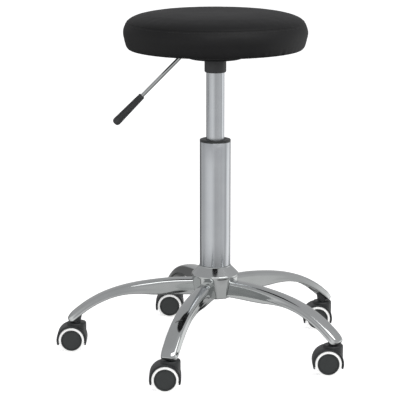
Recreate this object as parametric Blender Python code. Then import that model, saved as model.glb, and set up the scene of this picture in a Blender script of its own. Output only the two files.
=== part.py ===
"""Adjustable swivel stool: round padded seat, gas lift, five arched arms and twin-wheel casters.

Origin at the column's axis on the floor, +Z up, metres. The release lever points to -X.
"""

import math

import bmesh
import bpy
from mathutils import Matrix, Vector

MM = 0.001
GAP = 0.3

# Seat
SEAT_R = 176.8
SEAT_TOP_Z = 669.5
SEAT_FLAT_R = 40.0
BOARD_R = 151.8
BOARD_Z = 599.5
BOARD_T = 12.0
DUST_R_IN = 54.0
DUST_R_OUT = 141.6
DUST_Z = 597.9
DUST_T = 1.2

# Seat plate, lever and valve
PLATE_R = 53.0
PLATE_Z = 579.6
PLATE_TOP_Z = 599.1
PLATE_T = 2.0
PLATE_HOLE_R = 21.4
SCREW_CIRCLE_R = 38.0
SCREW_SHANK_R = 2.4
SCREW_HEAD_R = 4.6
SOCKET_R = 21.0
SOCKET_Z = 553.0
SOCKET_TOP_Z = 582.0
LEVER_R = 3.75
LEVER_Z = 587.8
LEVER_PIVOT_X = -30.0
LEVER_INNER_X = 4.0
LEVER_BEND_X = -61.4
LEVER_DROP = math.radians(45.4)
LEVER_BEND_R = 14.0
GRIP_START = 112.6
GRIP_LENGTH = 76.0
GRIP_R = 7.0
PIN_R = 1.9
EAR_Y = 6.0
EAR_T = 2.5

# Gas lift
CYLINDER_R = 17.5
CYLINDER_WALL = 2.5
CYLINDER_Z = 278.0
CYLINDER_TOP_Z = 579.7
VALVE_R = 4.2
VALVE_TOP_Z = 583.6
ROD_R = 5.0
PISTON_R = 14.3
PISTON_Z = 350.0
COLUMN_R = 30.0
COLUMN_WALL = 2.5
COLUMN_Z = 110.0
COLUMN_TOP_Z = 419.0
COLUMN_FLOOR_T = 6.0
BUSH_TOP_Z = 423.3
BUSH_LOW_Z = 380.0

# Base
HUB_Z = 113.5
HUB_RIM_Z = 154.0
HUB_SHOULDER_Z = 158.6
HUB_TOP_Z = 174.5
ARM_ANGLES = (180.0, 252.0, 324.0, 36.0, 108.0)
ARM_WALL = 2.2
ARM_CAVITY_END = 9
STEM_CIRCLE_R = 273.0

# Arm side profile: top radius, top height, sole radius, sole height, half width of sole, of crown
ARM_STATIONS = (
    (44.0, 147.4, 39.2, 117.0, 15.2, 10.0),
    (72.0, 147.0, 72.0, 117.0, 15.6, 10.2),
    (95.0, 145.8, 97.0, 116.6, 16.0, 10.3),
    (120.0, 143.0, 121.0, 116.8, 16.4, 10.4),
    (150.0, 138.6, 147.0, 118.2, 16.8, 10.5),
    (180.0, 132.0, 175.0, 116.6, 17.0, 10.5),
    (207.0, 123.3, 200.5, 110.4, 17.0, 10.5),
    (231.0, 112.7, 223.5, 100.6, 17.0, 10.5),
    (253.3, 99.6, 244.5, 88.6, 17.0, 10.5),
    (270.0, 87.2, 260.0, 77.2, 17.0, 10.5),
    (280.5, 78.4, 270.3, 69.0, 16.6, 9.8),
    (286.6, 71.4, 277.3, 63.5, 15.0, 8.4),
    (289.2, 66.6, 282.2, 60.9, 11.5, 6.0),
    (288.8, 64.6, 286.2, 61.0, 6.5, 3.5),
)

# Caster, measured from its swivel axis at floor level
WHEEL_R = 25.2
WHEEL_SIDES = 20
TRAIL = 9.0
TREAD_IN_R = 20.65
HUB_CAP_R = 20.35
WHEEL_IN_Y = 8.0
WHEEL_OUT_Y = 22.0
HOOD_R = 29.5
HOOD_ARCH_R = 26.5
HOOD_HALF_Y = 21.4
HOOD_CORE_HALF_Y = 7.7
HOOD_TIP = math.radians(18.0)
POST_R = 19.0
POST_X = 0.5
POST_TOP_Z = 58.6
AXLE_R = 3.0
STEM_R = 5.0
STEM_TOP_R = 5.5
STEM_FLANGE_R = 8.0
STEM_LOW_Z = 38.0
STEM_TOP_Z = 74.0


def clear_scene():
    """Remove every object, mesh and material."""
    for ob in list(bpy.data.objects):
        bpy.data.objects.remove(ob, do_unlink=True)
    for mesh in list(bpy.data.meshes):
        bpy.data.meshes.remove(mesh)
    for material in list(bpy.data.materials):
        bpy.data.materials.remove(material)


def finish(name, colour, roughness, metallic=0.0):
    """Principled material with one colour (linear RGB)."""
    material = bpy.data.materials.new(name)
    material.use_nodes = True
    shader = material.node_tree.nodes["Principled BSDF"]
    shader.inputs["Base Color"].default_value = (*colour, 1.0)
    shader.inputs["Roughness"].default_value = roughness
    shader.inputs["Metallic"].default_value = metallic
    return material


def mesh_from(bm, name, material, sharp_deg=35.0):
    """Turn a bmesh in millimetres into a smooth-shaded mesh in metres with its faces pointing out."""
    bmesh.ops.remove_doubles(bm, verts=bm.verts, dist=1e-4)
    bmesh.ops.recalc_face_normals(bm, faces=bm.faces)
    bmesh.ops.scale(bm, vec=(MM, MM, MM), verts=bm.verts)
    mesh = bpy.data.meshes.new(name)
    bm.to_mesh(mesh)
    bm.free()
    mesh.materials.append(material)
    mesh.shade_smooth()
    mesh.set_sharp_from_angle(angle=math.radians(sharp_deg))
    return mesh


def place(name, mesh, location=(0.0, 0.0, 0.0), parent=None, turn_z=0.0):
    """Link an object, location in millimetres."""
    ob = bpy.data.objects.new(name, mesh)
    ob.location = Vector(location) * MM
    ob.rotation_euler = (0.0, 0.0, turn_z)
    ob.parent = parent
    bpy.context.collection.objects.link(ob)
    return ob


def pivot(name, location, parent=None):
    """Empty on a joint's axis, location in millimetres under its parent."""
    empty = place(name, None, location, parent)
    empty.empty_display_size = 0.02
    return empty


def turned(profile, sides, closed=True, axis="Z", phase=0.0):
    """Spin a (radius, height) profile a full turn; an open profile starts and ends on the axis."""
    bm = bmesh.new()
    turn = Matrix.Rotation(phase, 3, "Z")
    verts = [bm.verts.new(turn @ Vector((r, 0.0, h))) for r, h in profile]
    edges = [bm.edges.new(pair) for pair in zip(verts, verts[1:])]
    if closed:
        edges.append(bm.edges.new((verts[-1], verts[0])))
    bmesh.ops.spin(
        bm,
        geom=verts + edges,
        cent=(0.0, 0.0, 0.0),
        axis=(0.0, 0.0, 1.0),
        angle=math.tau,
        steps=sides,
        use_merge=True,
    )
    bmesh.ops.remove_doubles(bm, verts=bm.verts, dist=1e-4)
    if axis == "Y":
        bmesh.ops.rotate(bm, verts=bm.verts, matrix=Matrix.Rotation(-math.pi / 2, 3, "X"))
    return bm


def extruded(outline, half_y):
    """Extrude a flat XZ outline from -half_y to +half_y."""
    bm = bmesh.new()
    face = bm.faces.new([bm.verts.new((x, -half_y, z)) for x, z in outline])
    grown = bmesh.ops.extrude_face_region(bm, geom=[face])
    moved = [v for v in grown["geom"] if isinstance(v, bmesh.types.BMVert)]
    bmesh.ops.translate(bm, verts=moved, vec=(0.0, 2.0 * half_y, 0.0))
    return bm


def block(low, high):
    """Axis-aligned box between two corners."""
    bm = bmesh.new()
    bmesh.ops.create_cube(bm, size=1.0)
    size = Vector(high) - Vector(low)
    bmesh.ops.scale(bm, vec=size, verts=bm.verts)
    bmesh.ops.translate(bm, verts=bm.verts, vec=(Vector(high) + Vector(low)) / 2.0)
    return bm


def rod(radius, low, high, sides=16, axis="Z", at=(0.0, 0.0, 0.0)):
    """Plain round bar along an axis, moved to a point."""
    bm = turned(((0.0, low), (radius, low), (radius, high), (0.0, high)), sides, False, axis)
    bmesh.ops.translate(bm, verts=bm.verts, vec=at)
    return bm


def tool(bm, name, material, parent=None, location=(0.0, 0.0, 0.0)):
    """Hidden wire-display body that a Boolean uses."""
    ob = place(name, mesh_from(bm, name, material), location, parent)
    ob.hide_render = True
    ob.display_type = "WIRE"
    return ob


def boolean(ob, other, operation="DIFFERENCE"):
    """Exact Boolean with a tool body."""
    modifier = ob.modifiers.new(other.name, "BOOLEAN")
    modifier.operation = operation
    modifier.solver = "EXACT"
    modifier.object = other


def baked(ob, name, sharp_deg=35.0):
    """New mesh holding an object's modified shape."""
    bpy.context.view_layer.update()
    graph = bpy.context.evaluated_depsgraph_get()
    mesh = bpy.data.meshes.new_from_object(ob.evaluated_get(graph))
    mesh.name = name
    mesh.shade_smooth()
    mesh.set_sharp_from_angle(angle=math.radians(sharp_deg))
    return mesh


def make_finishes():
    """Every finish of the stool."""
    return {
        "vinyl": finish("black_vinyl", (0.022, 0.022, 0.023), 0.42),
        "plywood": finish("birch_plywood", (0.50, 0.36, 0.21), 0.7),
        "cloth": finish("black_lining_cloth", (0.015, 0.015, 0.015), 0.95),
        "enamel": finish("black_enamelled_steel", (0.02, 0.02, 0.021), 0.45),
        "chrome": finish("chrome_plate", (0.62, 0.63, 0.64), 0.12, 1.0),
        "steel": finish("zinc_plated_steel", (0.45, 0.45, 0.46), 0.35, 1.0),
        "nylon": finish("black_nylon", (0.028, 0.029, 0.029), 0.45),
        "tread": finish("pale_soft_tread", (0.78, 0.78, 0.77), 0.6),
    }


def make_seat(fin, body):
    """Cushion, board and lining."""
    cushion = [
        (0.0, BOARD_Z + BOARD_T + GAP),
        (BOARD_R + GAP, BOARD_Z + BOARD_T + GAP),
        (BOARD_R + GAP, BOARD_Z - GAP),
        (DUST_R_OUT + GAP, BOARD_Z - GAP),
        (DUST_R_OUT + GAP, DUST_Z - 0.1),
        (160.0, DUST_Z - 0.1),
        (165.6, 599.4),
        (169.4, 603.4),
        (172.2, 610.0),
        (174.8, 618.0),
        (176.4, 625.0),
        (SEAT_R, 631.0),
        (175.9, 637.6),
        (173.8, 643.8),
        (170.8, 649.6),
        (166.2, 654.6),
        (158.8, 658.8),
        (146.5, 662.6),
        (122.0, 666.4),
        (85.0, 668.8),
        (SEAT_FLAT_R, SEAT_TOP_Z),
        (0.0, SEAT_TOP_Z),
    ]
    place("seat_cushion", mesh_from(turned(cushion, 40, False), "seat_cushion", fin["vinyl"]), parent=body)

    top = BOARD_Z + BOARD_T
    disc = rod(BOARD_R, BOARD_Z, top, 40)
    board = place("seat_board", mesh_from(disc, "seat_board", fin["plywood"]), parent=body)
    for n, (x, y) in enumerate(screw_points(), 1):
        hole = rod(SCREW_SHANK_R + GAP, BOARD_Z - 5.0, BOARD_Z + 9.2, 12, at=(x, y, 0.0))
        boolean(board, tool(hole, f"board_hole_{n}", fin["steel"], body))

    lining = (
        (DUST_R_IN, DUST_Z),
        (DUST_R_OUT, DUST_Z),
        (DUST_R_OUT, DUST_Z + DUST_T),
        (DUST_R_IN, DUST_Z + DUST_T),
    )
    place("dust_cover", mesh_from(turned(lining, 40), "dust_cover", fin["cloth"]), parent=body)


def screw_points():
    """Centres of the four plate screws."""
    angles = [math.radians(45.0 + 90.0 * n) for n in range(4)]
    return [(SCREW_CIRCLE_R * math.cos(a), SCREW_CIRCLE_R * math.sin(a)) for a in angles]


def make_plate(fin, body):
    """Dished plate with two ears for the lever's pin, its taper socket and its screws."""
    floor_z = PLATE_Z + PLATE_T
    dish = (
        (PLATE_HOLE_R, PLATE_Z),
        (PLATE_R - 3.4, PLATE_Z),
        (PLATE_R - 1.0, PLATE_Z + 1.0),
        (PLATE_R, PLATE_Z + 3.4),
        (PLATE_R, PLATE_TOP_Z),
        (PLATE_R - PLATE_T, PLATE_TOP_Z),
        (PLATE_R - PLATE_T, PLATE_Z + 3.9),
        (PLATE_R - 2.6, PLATE_Z + 2.5),
        (PLATE_R - 4.0, floor_z),
        (PLATE_HOLE_R, floor_z),
    )
    plate = place("seat_plate", mesh_from(turned(dish, 36), "seat_plate", fin["enamel"]), parent=body)
    pin_x = LEVER_PIVOT_X
    for side in (-1.0, 1.0):
        near = side * EAR_Y
        far = side * (EAR_Y + EAR_T)
        low = (pin_x - 4.5, min(near, far), floor_z - 0.8)
        high = (pin_x + 4.5, max(near, far), LEVER_Z + 4.5)
        boolean(plate, tool(block(low, high), f"plate_ear_{side:+.0f}", fin["enamel"], body), "UNION")
    slot = block((-PLATE_R - 3.0, -LEVER_R - 1.0, floor_z + 0.05), (-44.0, LEVER_R + 1.0, PLATE_TOP_Z + 3.0))
    boolean(plate, tool(slot, "plate_lever_slot", fin["enamel"], body))
    for n, (x, y) in enumerate(screw_points(), 1):
        hole = rod(SCREW_SHANK_R + GAP, PLATE_Z - 3.0, floor_z + 3.0, 12, at=(x, y, 0.0))
        boolean(plate, tool(hole, f"plate_hole_{n}", fin["enamel"], body))
    pin_hole = rod(PIN_R + GAP, -14.0, 14.0, 12, "Y", (pin_x, 0.0, LEVER_Z))
    boolean(plate, tool(pin_hole, "plate_pin_hole", fin["enamel"], body))

    length = EAR_Y + EAR_T + 0.8
    pin = rod(PIN_R, -length, length, 12, "Y")
    place("lever_pin", mesh_from(pin, "lever_pin", fin["steel"]), (pin_x, 0.0, LEVER_Z), body)

    socket = (
        (CYLINDER_R + GAP, SOCKET_Z),
        (SOCKET_R - 1.6, SOCKET_Z),
        (SOCKET_R, SOCKET_Z + 1.6),
        (SOCKET_R, SOCKET_TOP_Z),
        (15.4 + GAP, SOCKET_TOP_Z),
    )
    place("taper_socket", mesh_from(turned(socket, 32), "taper_socket", fin["enamel"]), parent=body)

    screw = (
        (0.0, PLATE_Z - 2.8),
        (SCREW_HEAD_R - 1.2, PLATE_Z - 2.8),
        (SCREW_HEAD_R, PLATE_Z - 1.6),
        (SCREW_HEAD_R, PLATE_Z - GAP),
        (SCREW_SHANK_R, PLATE_Z - GAP),
        (SCREW_SHANK_R, BOARD_Z + 6.5),
        (0.0, BOARD_Z + 8.8),
    )
    mesh = mesh_from(turned(screw, 12, False), "plate_screw", fin["steel"])
    for n, (x, y) in enumerate(screw_points(), 1):
        place(f"plate_screw_{n}", mesh, (x, y, 0.0), body)


def lever_path():
    """Centre line of the lever from its inner end, with a rounded bend, in the XZ plane."""
    tangent = LEVER_BEND_R * math.tan(LEVER_DROP / 2.0)
    points = [(LEVER_INNER_X, LEVER_Z), (LEVER_PIVOT_X, LEVER_Z)]
    start_x = LEVER_BEND_X + tangent
    for n in range(5):
        a = LEVER_DROP * n / 4.0
        x = start_x - LEVER_BEND_R * math.sin(a)
        z = LEVER_Z - LEVER_BEND_R * (1.0 - math.cos(a))
        points.append((x, z))
    reach = GRIP_START + GRIP_LENGTH - 9.0
    points.append(lever_point(reach))
    return points


def lever_point(along):
    """Point of the lever's sloping part, by distance from the bend's corner."""
    x = LEVER_BEND_X - along * math.cos(LEVER_DROP)
    z = LEVER_Z - along * math.sin(LEVER_DROP)
    return (x, z)


def swept(path, radius, sides=12):
    """Round bar along a path in the XZ plane."""
    bm = bmesh.new()
    rings = []
    for n, (x, z) in enumerate(path):
        before = Vector(path[max(n - 1, 0)])
        after = Vector(path[min(n + 1, len(path) - 1)])
        along = (after - before).normalized()
        across = Vector((-along.y, along.x))
        ring = []
        for k in range(sides):
            a = math.tau * (k + 0.5) / sides
            u = radius * math.cos(a)
            v = radius * math.sin(a)
            ring.append(bm.verts.new((x + across.x * u, v, z + across.y * u)))
        rings.append(ring)
    for low, high in zip(rings, rings[1:]):
        for k in range(sides):
            m = (k + 1) % sides
            bm.faces.new((low[k], low[m], high[m], high[k]))
    bm.faces.new(rings[0])
    bm.faces.new(rings[-1])
    return bm


def make_lever(fin, body):
    """Bent rod on its pin and the grip on its end."""
    axis = pivot("lever_axis", (LEVER_PIVOT_X, 0.0, LEVER_Z), body)
    shift = (-LEVER_PIVOT_X, 0.0, -LEVER_Z)
    bar = swept(lever_path(), LEVER_R)
    bmesh.ops.translate(bar, verts=bar.verts, vec=shift)
    lever = place("release_lever", mesh_from(bar, "release_lever", fin["chrome"]), parent=axis)
    bore = rod(PIN_R + GAP, -8.0, 8.0, 12, "Y")
    boolean(lever, tool(bore, "lever_bore", fin["steel"], axis))

    bore_r = LEVER_R + GAP
    grip = (
        (bore_r, 0.0),
        (GRIP_R - 1.2, 0.0),
        (GRIP_R, 1.2),
        (GRIP_R, GRIP_LENGTH - 1.8),
        (GRIP_R - 1.8, GRIP_LENGTH),
        (0.0, GRIP_LENGTH),
        (0.0, GRIP_LENGTH - 8.5),
        (bore_r, GRIP_LENGTH - 8.5),
    )
    start = lever_point(GRIP_START)
    bm = turned_blind(grip, 16)
    tilt = Matrix.Rotation(-(math.pi / 2.0 + LEVER_DROP), 3, "Y")
    bmesh.ops.rotate(bm, verts=bm.verts, matrix=tilt)
    bmesh.ops.translate(bm, verts=bm.verts, vec=(start[0], 0.0, start[1]))
    bmesh.ops.translate(bm, verts=bm.verts, vec=shift)
    place("lever_grip", mesh_from(bm, "lever_grip", fin["nylon"]), parent=axis)


def turned_blind(profile, sides):
    """Spin a blind-bored profile: its two points on the axis are not joined to each other."""
    first = [n for n, (r, _) in enumerate(profile) if r == 0.0]
    ordered = list(profile[first[1]:]) + list(profile[: first[0] + 1])
    return turned(ordered, sides, False)


def make_gas_lift(fin, root, spindle, body):
    """Column, bush, rod, bearing, clip, cylinder and valve button."""
    inner = COLUMN_R - COLUMN_WALL
    floor_top = COLUMN_Z + COLUMN_FLOOR_T
    column = (
        (ROD_R + GAP, COLUMN_Z),
        (26.0, COLUMN_Z),
        (27.0, COLUMN_Z + 2.0),
        (29.0, 174.8),
        (COLUMN_R, 175.2),
        (COLUMN_R, COLUMN_TOP_Z),
        (inner, COLUMN_TOP_Z),
        (inner, 185.0),
        (24.5, 174.0),
        (23.5, floor_top),
        (ROD_R + GAP, floor_top),
    )
    place("outer_column", mesh_from(turned(column, 36), "outer_column", fin["chrome"]), parent=root)

    bush = (
        (CYLINDER_R + GAP, BUSH_LOW_Z),
        (inner - GAP, BUSH_LOW_Z),
        (inner - GAP, COLUMN_TOP_Z + GAP),
        (COLUMN_R, COLUMN_TOP_Z + GAP),
        (COLUMN_R, BUSH_TOP_Z - 1.0),
        (COLUMN_R - 1.0, BUSH_TOP_Z),
        (CYLINDER_R + GAP, BUSH_TOP_Z),
    )
    place("column_bush", mesh_from(turned(bush, 36), "column_bush", fin["nylon"]), parent=root)

    piston = (
        (0.0, COLUMN_Z - 5.0),
        (ROD_R - 0.8, COLUMN_Z - 5.0),
        (ROD_R - 0.8, COLUMN_Z - 3.6),
        (ROD_R - 1.6, COLUMN_Z - 3.6),
        (ROD_R - 1.6, COLUMN_Z - 1.8),
        (ROD_R, COLUMN_Z - 1.8),
        (ROD_R, floor_top + 8.0),
        (9.0, floor_top + 8.0),
        (9.0, floor_top + 11.0),
        (ROD_R, floor_top + 11.0),
        (ROD_R, PISTON_Z),
        (PISTON_R, PISTON_Z),
        (PISTON_R, PISTON_Z + 12.0),
        (0.0, PISTON_Z + 12.0),
    )
    place("piston_rod", mesh_from(turned(piston, 20, False), "piston_rod", fin["steel"]), parent=spindle)

    bearing = (
        (ROD_R + GAP, floor_top + GAP),
        (12.0, floor_top + GAP),
        (12.0, floor_top + 8.0 - GAP),
        (ROD_R + GAP, floor_top + 8.0 - GAP),
    )
    place("thrust_bearing", mesh_from(turned(bearing, 20), "thrust_bearing", fin["steel"]), parent=spindle)

    clip = (
        (ROD_R - 1.3, COLUMN_Z - 3.3),
        (9.0, COLUMN_Z - 3.3),
        (9.0, COLUMN_Z - 2.1),
        (ROD_R - 1.3, COLUMN_Z - 2.1),
    )
    place("retaining_clip", mesh_from(turned(clip, 20), "retaining_clip", fin["steel"]), parent=spindle)

    bore = CYLINDER_R - CYLINDER_WALL
    cylinder = (
        (ROD_R + GAP, CYLINDER_Z),
        (CYLINDER_R - 1.0, CYLINDER_Z),
        (CYLINDER_R, CYLINDER_Z + 1.0),
        (CYLINDER_R, SOCKET_Z + 1.0),
        (15.4, CYLINDER_TOP_Z),
        (VALVE_R + GAP, CYLINDER_TOP_Z),
        (VALVE_R + GAP, 558.0),
        (0.0, 558.0),
    )
    void = (
        (0.0, 542.0),
        (bore, 542.0),
        (bore, CYLINDER_Z + 10.0),
        (ROD_R + GAP, CYLINDER_Z + 10.0),
        (ROD_R + GAP, CYLINDER_Z),
    )
    shell = turned(list(void) + list(cylinder[1:]), 32, False)
    place("gas_cylinder", mesh_from(shell, "gas_cylinder", fin["chrome"]), parent=body)

    button = rod(VALVE_R, 562.0, VALVE_TOP_Z, 16)
    place("release_button", mesh_from(button, "release_button", fin["steel"]), parent=body)


def hub_ring(arm_apothem, corner_deg, round_r=None):
    """Forty points round the hub: ten flats, or a circle when round_r is given."""
    corner = math.radians(corner_deg)
    corner_r = arm_apothem / math.cos(corner)
    half_panel = math.radians(36.0) - corner
    panel_apothem = corner_r * math.cos(half_panel)
    points = []
    for arm in ARM_ANGLES:
        for k in range(8):
            if k < 4:
                local = corner * (k - 2) / 2.0
                radius = arm_apothem / math.cos(local)
            else:
                local = corner + 2.0 * half_panel * (k - 4) / 4.0
                radius = panel_apothem / math.cos(local - math.radians(36.0))
            radius = round_r if round_r else radius
            angle = math.radians(arm) + local
            points.append((radius * math.cos(angle), radius * math.sin(angle)))
    return points


def make_hub(fin, root):
    """Ten-sided hub that narrows downwards, with a coned top and a tapered bore."""
    bore_low = 27.0 + GAP
    bore_high = 29.1 + GAP
    rings = [
        (HUB_Z, hub_ring(36.4, 22.4)),
        (HUB_Z + 1.6, hub_ring(38.3, 22.2)),
        (HUB_RIM_Z - 1.0, hub_ring(44.4, 17.2)),
        (HUB_RIM_Z + 1.8, hub_ring(44.0, 17.2, 45.4)),
        (HUB_SHOULDER_Z, hub_ring(43.0, 17.2, 44.0)),
        (HUB_TOP_Z - 0.6, hub_ring(31.0, 17.2, 31.3)),
        (HUB_TOP_Z, hub_ring(30.6, 17.2, 30.5)),
        (HUB_TOP_Z, hub_ring(29.4, 17.2, bore_high)),
        (HUB_Z, hub_ring(27.3, 17.2, bore_low + 0.15)),
    ]
    bm = bmesh.new()
    loops = []
    for z, points in rings:
        loops.append([bm.verts.new((x, y, z)) for x, y in points])
    loops.append(loops[0])
    for low, high in zip(loops, loops[1:]):
        for k in range(len(low)):
            m = (k + 1) % len(low)
            bm.faces.new((low[k], low[m], high[m], high[k]))
    place("base_hub", mesh_from(bm, "base_hub", fin["chrome"], 25.0), parent=root)


def arm_section(station):
    """Half outline of one section as (height fraction, half width), sole to crown."""
    sole, crown = station[4], station[5]
    shoulder = crown + 0.52 * (sole - crown)
    return (
        (0.0, sole - 0.9),
        (0.04, sole),
        (0.45, crown + 0.80 * (sole - crown)),
        (0.76, shoulder),
        (0.94, crown + 0.15),
        (1.0, crown - 2.6),
    )


def arm_ring(station, inset=0.0, drop=0.0):
    """Section points of the arm, or of its cavity when inset, which then drops below the sole."""
    top_r, top_z, low_r, low_z = station[:4]
    length = math.hypot(top_r - low_r, top_z - low_z)
    up_r = (top_r - low_r) / length
    up_z = (top_z - low_z) / length
    half = []
    for up, side in arm_section(station):
        along = up * (length - inset)
        along = -drop if up == 0.0 and drop else along
        half.append((low_r + up_r * along, side - inset, low_z + up_z * along))
    mirrored = [(r, -side, z) for r, side, z in reversed(half)]
    return half + mirrored


def lofted(rings):
    """Closed body through a row of sections."""
    bm = bmesh.new()
    loops = [[bm.verts.new(p) for p in ring] for ring in rings]
    for low, high in zip(loops, loops[1:]):
        for k in range(len(low)):
            m = (k + 1) % len(low)
            bm.faces.new((low[k], low[m], high[m], high[k]))
    bm.faces.new(loops[0])
    bm.faces.new(loops[-1])
    return bm


def make_arms(fin, root):
    """Five arched arms that share one mesh: a channel open below, solid at the caster's stem."""
    shell = lofted([arm_ring(s) for s in ARM_STATIONS])
    blank = place("arm_blank", mesh_from(shell, "arm_blank", fin["chrome"]))
    last = [(a + b) / 2.0 for a, b in zip(*ARM_STATIONS[ARM_CAVITY_END - 2 : ARM_CAVITY_END])]
    first = [0.93 * a + 0.07 * b for a, b in zip(*ARM_STATIONS[:2])]
    inner = [first, *ARM_STATIONS[1 : ARM_CAVITY_END - 1], last]
    cavity = lofted([arm_ring(s, ARM_WALL, 4.0) for s in inner])
    boolean(blank, tool(cavity, "arm_cavity", fin["chrome"]))
    bore = rod(STEM_TOP_R + GAP, 40.0, STEM_TOP_Z + 0.6, 12, at=(STEM_CIRCLE_R, 0.0, 0.0))
    boolean(blank, tool(bore, "arm_stem_bore", fin["chrome"]))
    mesh = baked(blank, "base_arm", 40.0)
    bpy.data.objects.remove(blank)
    for n, angle in enumerate(ARM_ANGLES, 1):
        place(f"base_arm_{n}", mesh, parent=root, turn_z=math.radians(angle))


def hood_mesh(fin):
    """Hood over the two wheels: arched shell, solid core between the wheels and a round post."""
    outline = []
    steps = 18
    for n in range(steps + 1):
        a = -HOOD_TIP + (math.pi + 2.0 * HOOD_TIP) * n / steps
        outline.append((-TRAIL + HOOD_R * math.cos(a), WHEEL_R + HOOD_R * math.sin(a)))
    shell = place("hood_blank", mesh_from(extruded(outline, HOOD_HALF_Y), "hood_blank", fin["nylon"]))
    post = turned(
        (
            (0.0, 27.0),
            (POST_R, 27.0),
            (POST_R, POST_TOP_Z - 2.0),
            (POST_R - 2.2, POST_TOP_Z),
            (0.0, POST_TOP_Z),
        ),
        24,
        False,
    )
    bmesh.ops.translate(post, verts=post.verts, vec=(POST_X, 0.0, 0.0))
    boolean(shell, tool(post, "hood_post", fin["nylon"]), "UNION")
    for side in (-1.0, 1.0):
        near = side * HOOD_CORE_HALF_Y
        far = side * (HOOD_HALF_Y + 6.0)
        centre = (-TRAIL, 0.0, WHEEL_R)
        arch = rod(HOOD_ARCH_R, min(near, far), max(near, far), 28, "Y", centre)
        boolean(shell, tool(arch, f"hood_arch_{side:+.0f}", fin["nylon"]))
    boolean(shell, tool(rod(STEM_R + GAP, STEM_LOW_Z - 1.5, 70.0, 12), "hood_stem_bore", fin["nylon"]))
    axle = rod(AXLE_R + GAP, -16.0, 16.0, 12, "Y", (-TRAIL, 0.0, WHEEL_R))
    boolean(shell, tool(axle, "hood_axle_bore", fin["nylon"]))
    mesh = baked(shell, "caster_hood")
    bpy.data.objects.remove(shell)
    return mesh


def make_casters(fin, root):
    """Five twin-wheel casters, all trailing to -X; equal pieces share one mesh."""
    stem = (
        (0.0, STEM_LOW_Z),
        (STEM_R, STEM_LOW_Z),
        (STEM_R, POST_TOP_Z + 0.4),
        (STEM_FLANGE_R, POST_TOP_Z + 0.4),
        (STEM_FLANGE_R, POST_TOP_Z + 1.6),
        (STEM_TOP_R, POST_TOP_Z + 1.6),
        (STEM_TOP_R, STEM_TOP_Z - 1.0),
        (STEM_TOP_R - 1.0, STEM_TOP_Z),
        (0.0, STEM_TOP_Z),
    )
    corner_r = 1.0 / math.cos(math.pi / WHEEL_SIDES)
    half_step = math.pi / WHEEL_SIDES
    wheel = (
        (0.0, WHEEL_OUT_Y - 1.6),
        (AXLE_R + GAP, WHEEL_OUT_Y - 1.6),
        (AXLE_R + GAP, WHEEL_IN_Y),
        (HUB_CAP_R, WHEEL_IN_Y),
        (HUB_CAP_R, WHEEL_OUT_Y - 0.8),
        (HUB_CAP_R - 1.0, WHEEL_OUT_Y),
        (0.0, WHEEL_OUT_Y),
    )
    tread = (
        (TREAD_IN_R * corner_r, WHEEL_IN_Y),
        ((WHEEL_R - 0.8) * corner_r, WHEEL_IN_Y),
        (WHEEL_R * corner_r, WHEEL_IN_Y + 0.8),
        (WHEEL_R * corner_r, WHEEL_OUT_Y - 1.2),
        ((WHEEL_R - 0.8) * corner_r, WHEEL_OUT_Y - 0.4),
        (TREAD_IN_R * corner_r, WHEEL_OUT_Y - 0.4),
    )
    meshes = {
        "stem": mesh_from(turned(stem, 12, False), "caster_stem", fin["steel"]),
        "hood": hood_mesh(fin),
        "axle": mesh_from(rod(AXLE_R, -20.0, 20.0, 12, "Y"), "caster_axle", fin["steel"]),
        "wheel": mesh_from(turned(wheel, WHEEL_SIDES, False, "Y", half_step), "caster_wheel", fin["nylon"]),
        "tread": mesh_from(turned(tread, WHEEL_SIDES, True, "Y", half_step), "caster_tread", fin["tread"]),
    }
    for n, angle in enumerate(ARM_ANGLES, 1):
        a = math.radians(angle)
        foot = (STEM_CIRCLE_R * math.cos(a), STEM_CIRCLE_R * math.sin(a), 0.0)
        place(f"caster_{n}_stem", meshes["stem"], foot, root)
        swivel = pivot(f"caster_{n}_swivel_axis", foot, root)
        place(f"caster_{n}_hood", meshes["hood"], parent=swivel)
        hub = (-TRAIL, 0.0, WHEEL_R)
        place(f"caster_{n}_axle", meshes["axle"], hub, swivel)
        for side, turn in (("l", 0.0), ("r", math.pi)):
            spin = pivot(f"caster_{n}_spin_{side}", hub, swivel)
            place(f"caster_{n}_wheel_{side}", meshes["wheel"], parent=spin, turn_z=turn)
            place(f"caster_{n}_tread_{side}", meshes["tread"], parent=spin, turn_z=turn)


def main():
    """Build the stool from the floor up."""
    clear_scene()
    fin = make_finishes()
    root = pivot("stool_root", (0.0, 0.0, 0.0))
    spindle = pivot("swivel_axis", (0.0, 0.0, 0.0), root)
    body = pivot("height_axis", (0.0, 0.0, 0.0), spindle)
    make_hub(fin, root)
    make_arms(fin, root)
    make_casters(fin, root)
    make_gas_lift(fin, root, spindle, body)
    make_plate(fin, body)
    make_lever(fin, body)
    make_seat(fin, body)


main()
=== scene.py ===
"""Looks of the adjustable swivel stool.

A round padded seat in black faux leather stands on a gas lift in a chromed column. Five chromed, arched arms
carry twin-wheel casters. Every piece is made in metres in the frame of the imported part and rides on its
bodies.
"""

import logging
import math
import random
from collections.abc import Callable, Sequence
from dataclasses import dataclass, field
from enum import Enum

import bmesh
import bpy
import numpy as np
from mathutils import Matrix, Vector
from mathutils.bvhtree import BVHTree


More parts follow.
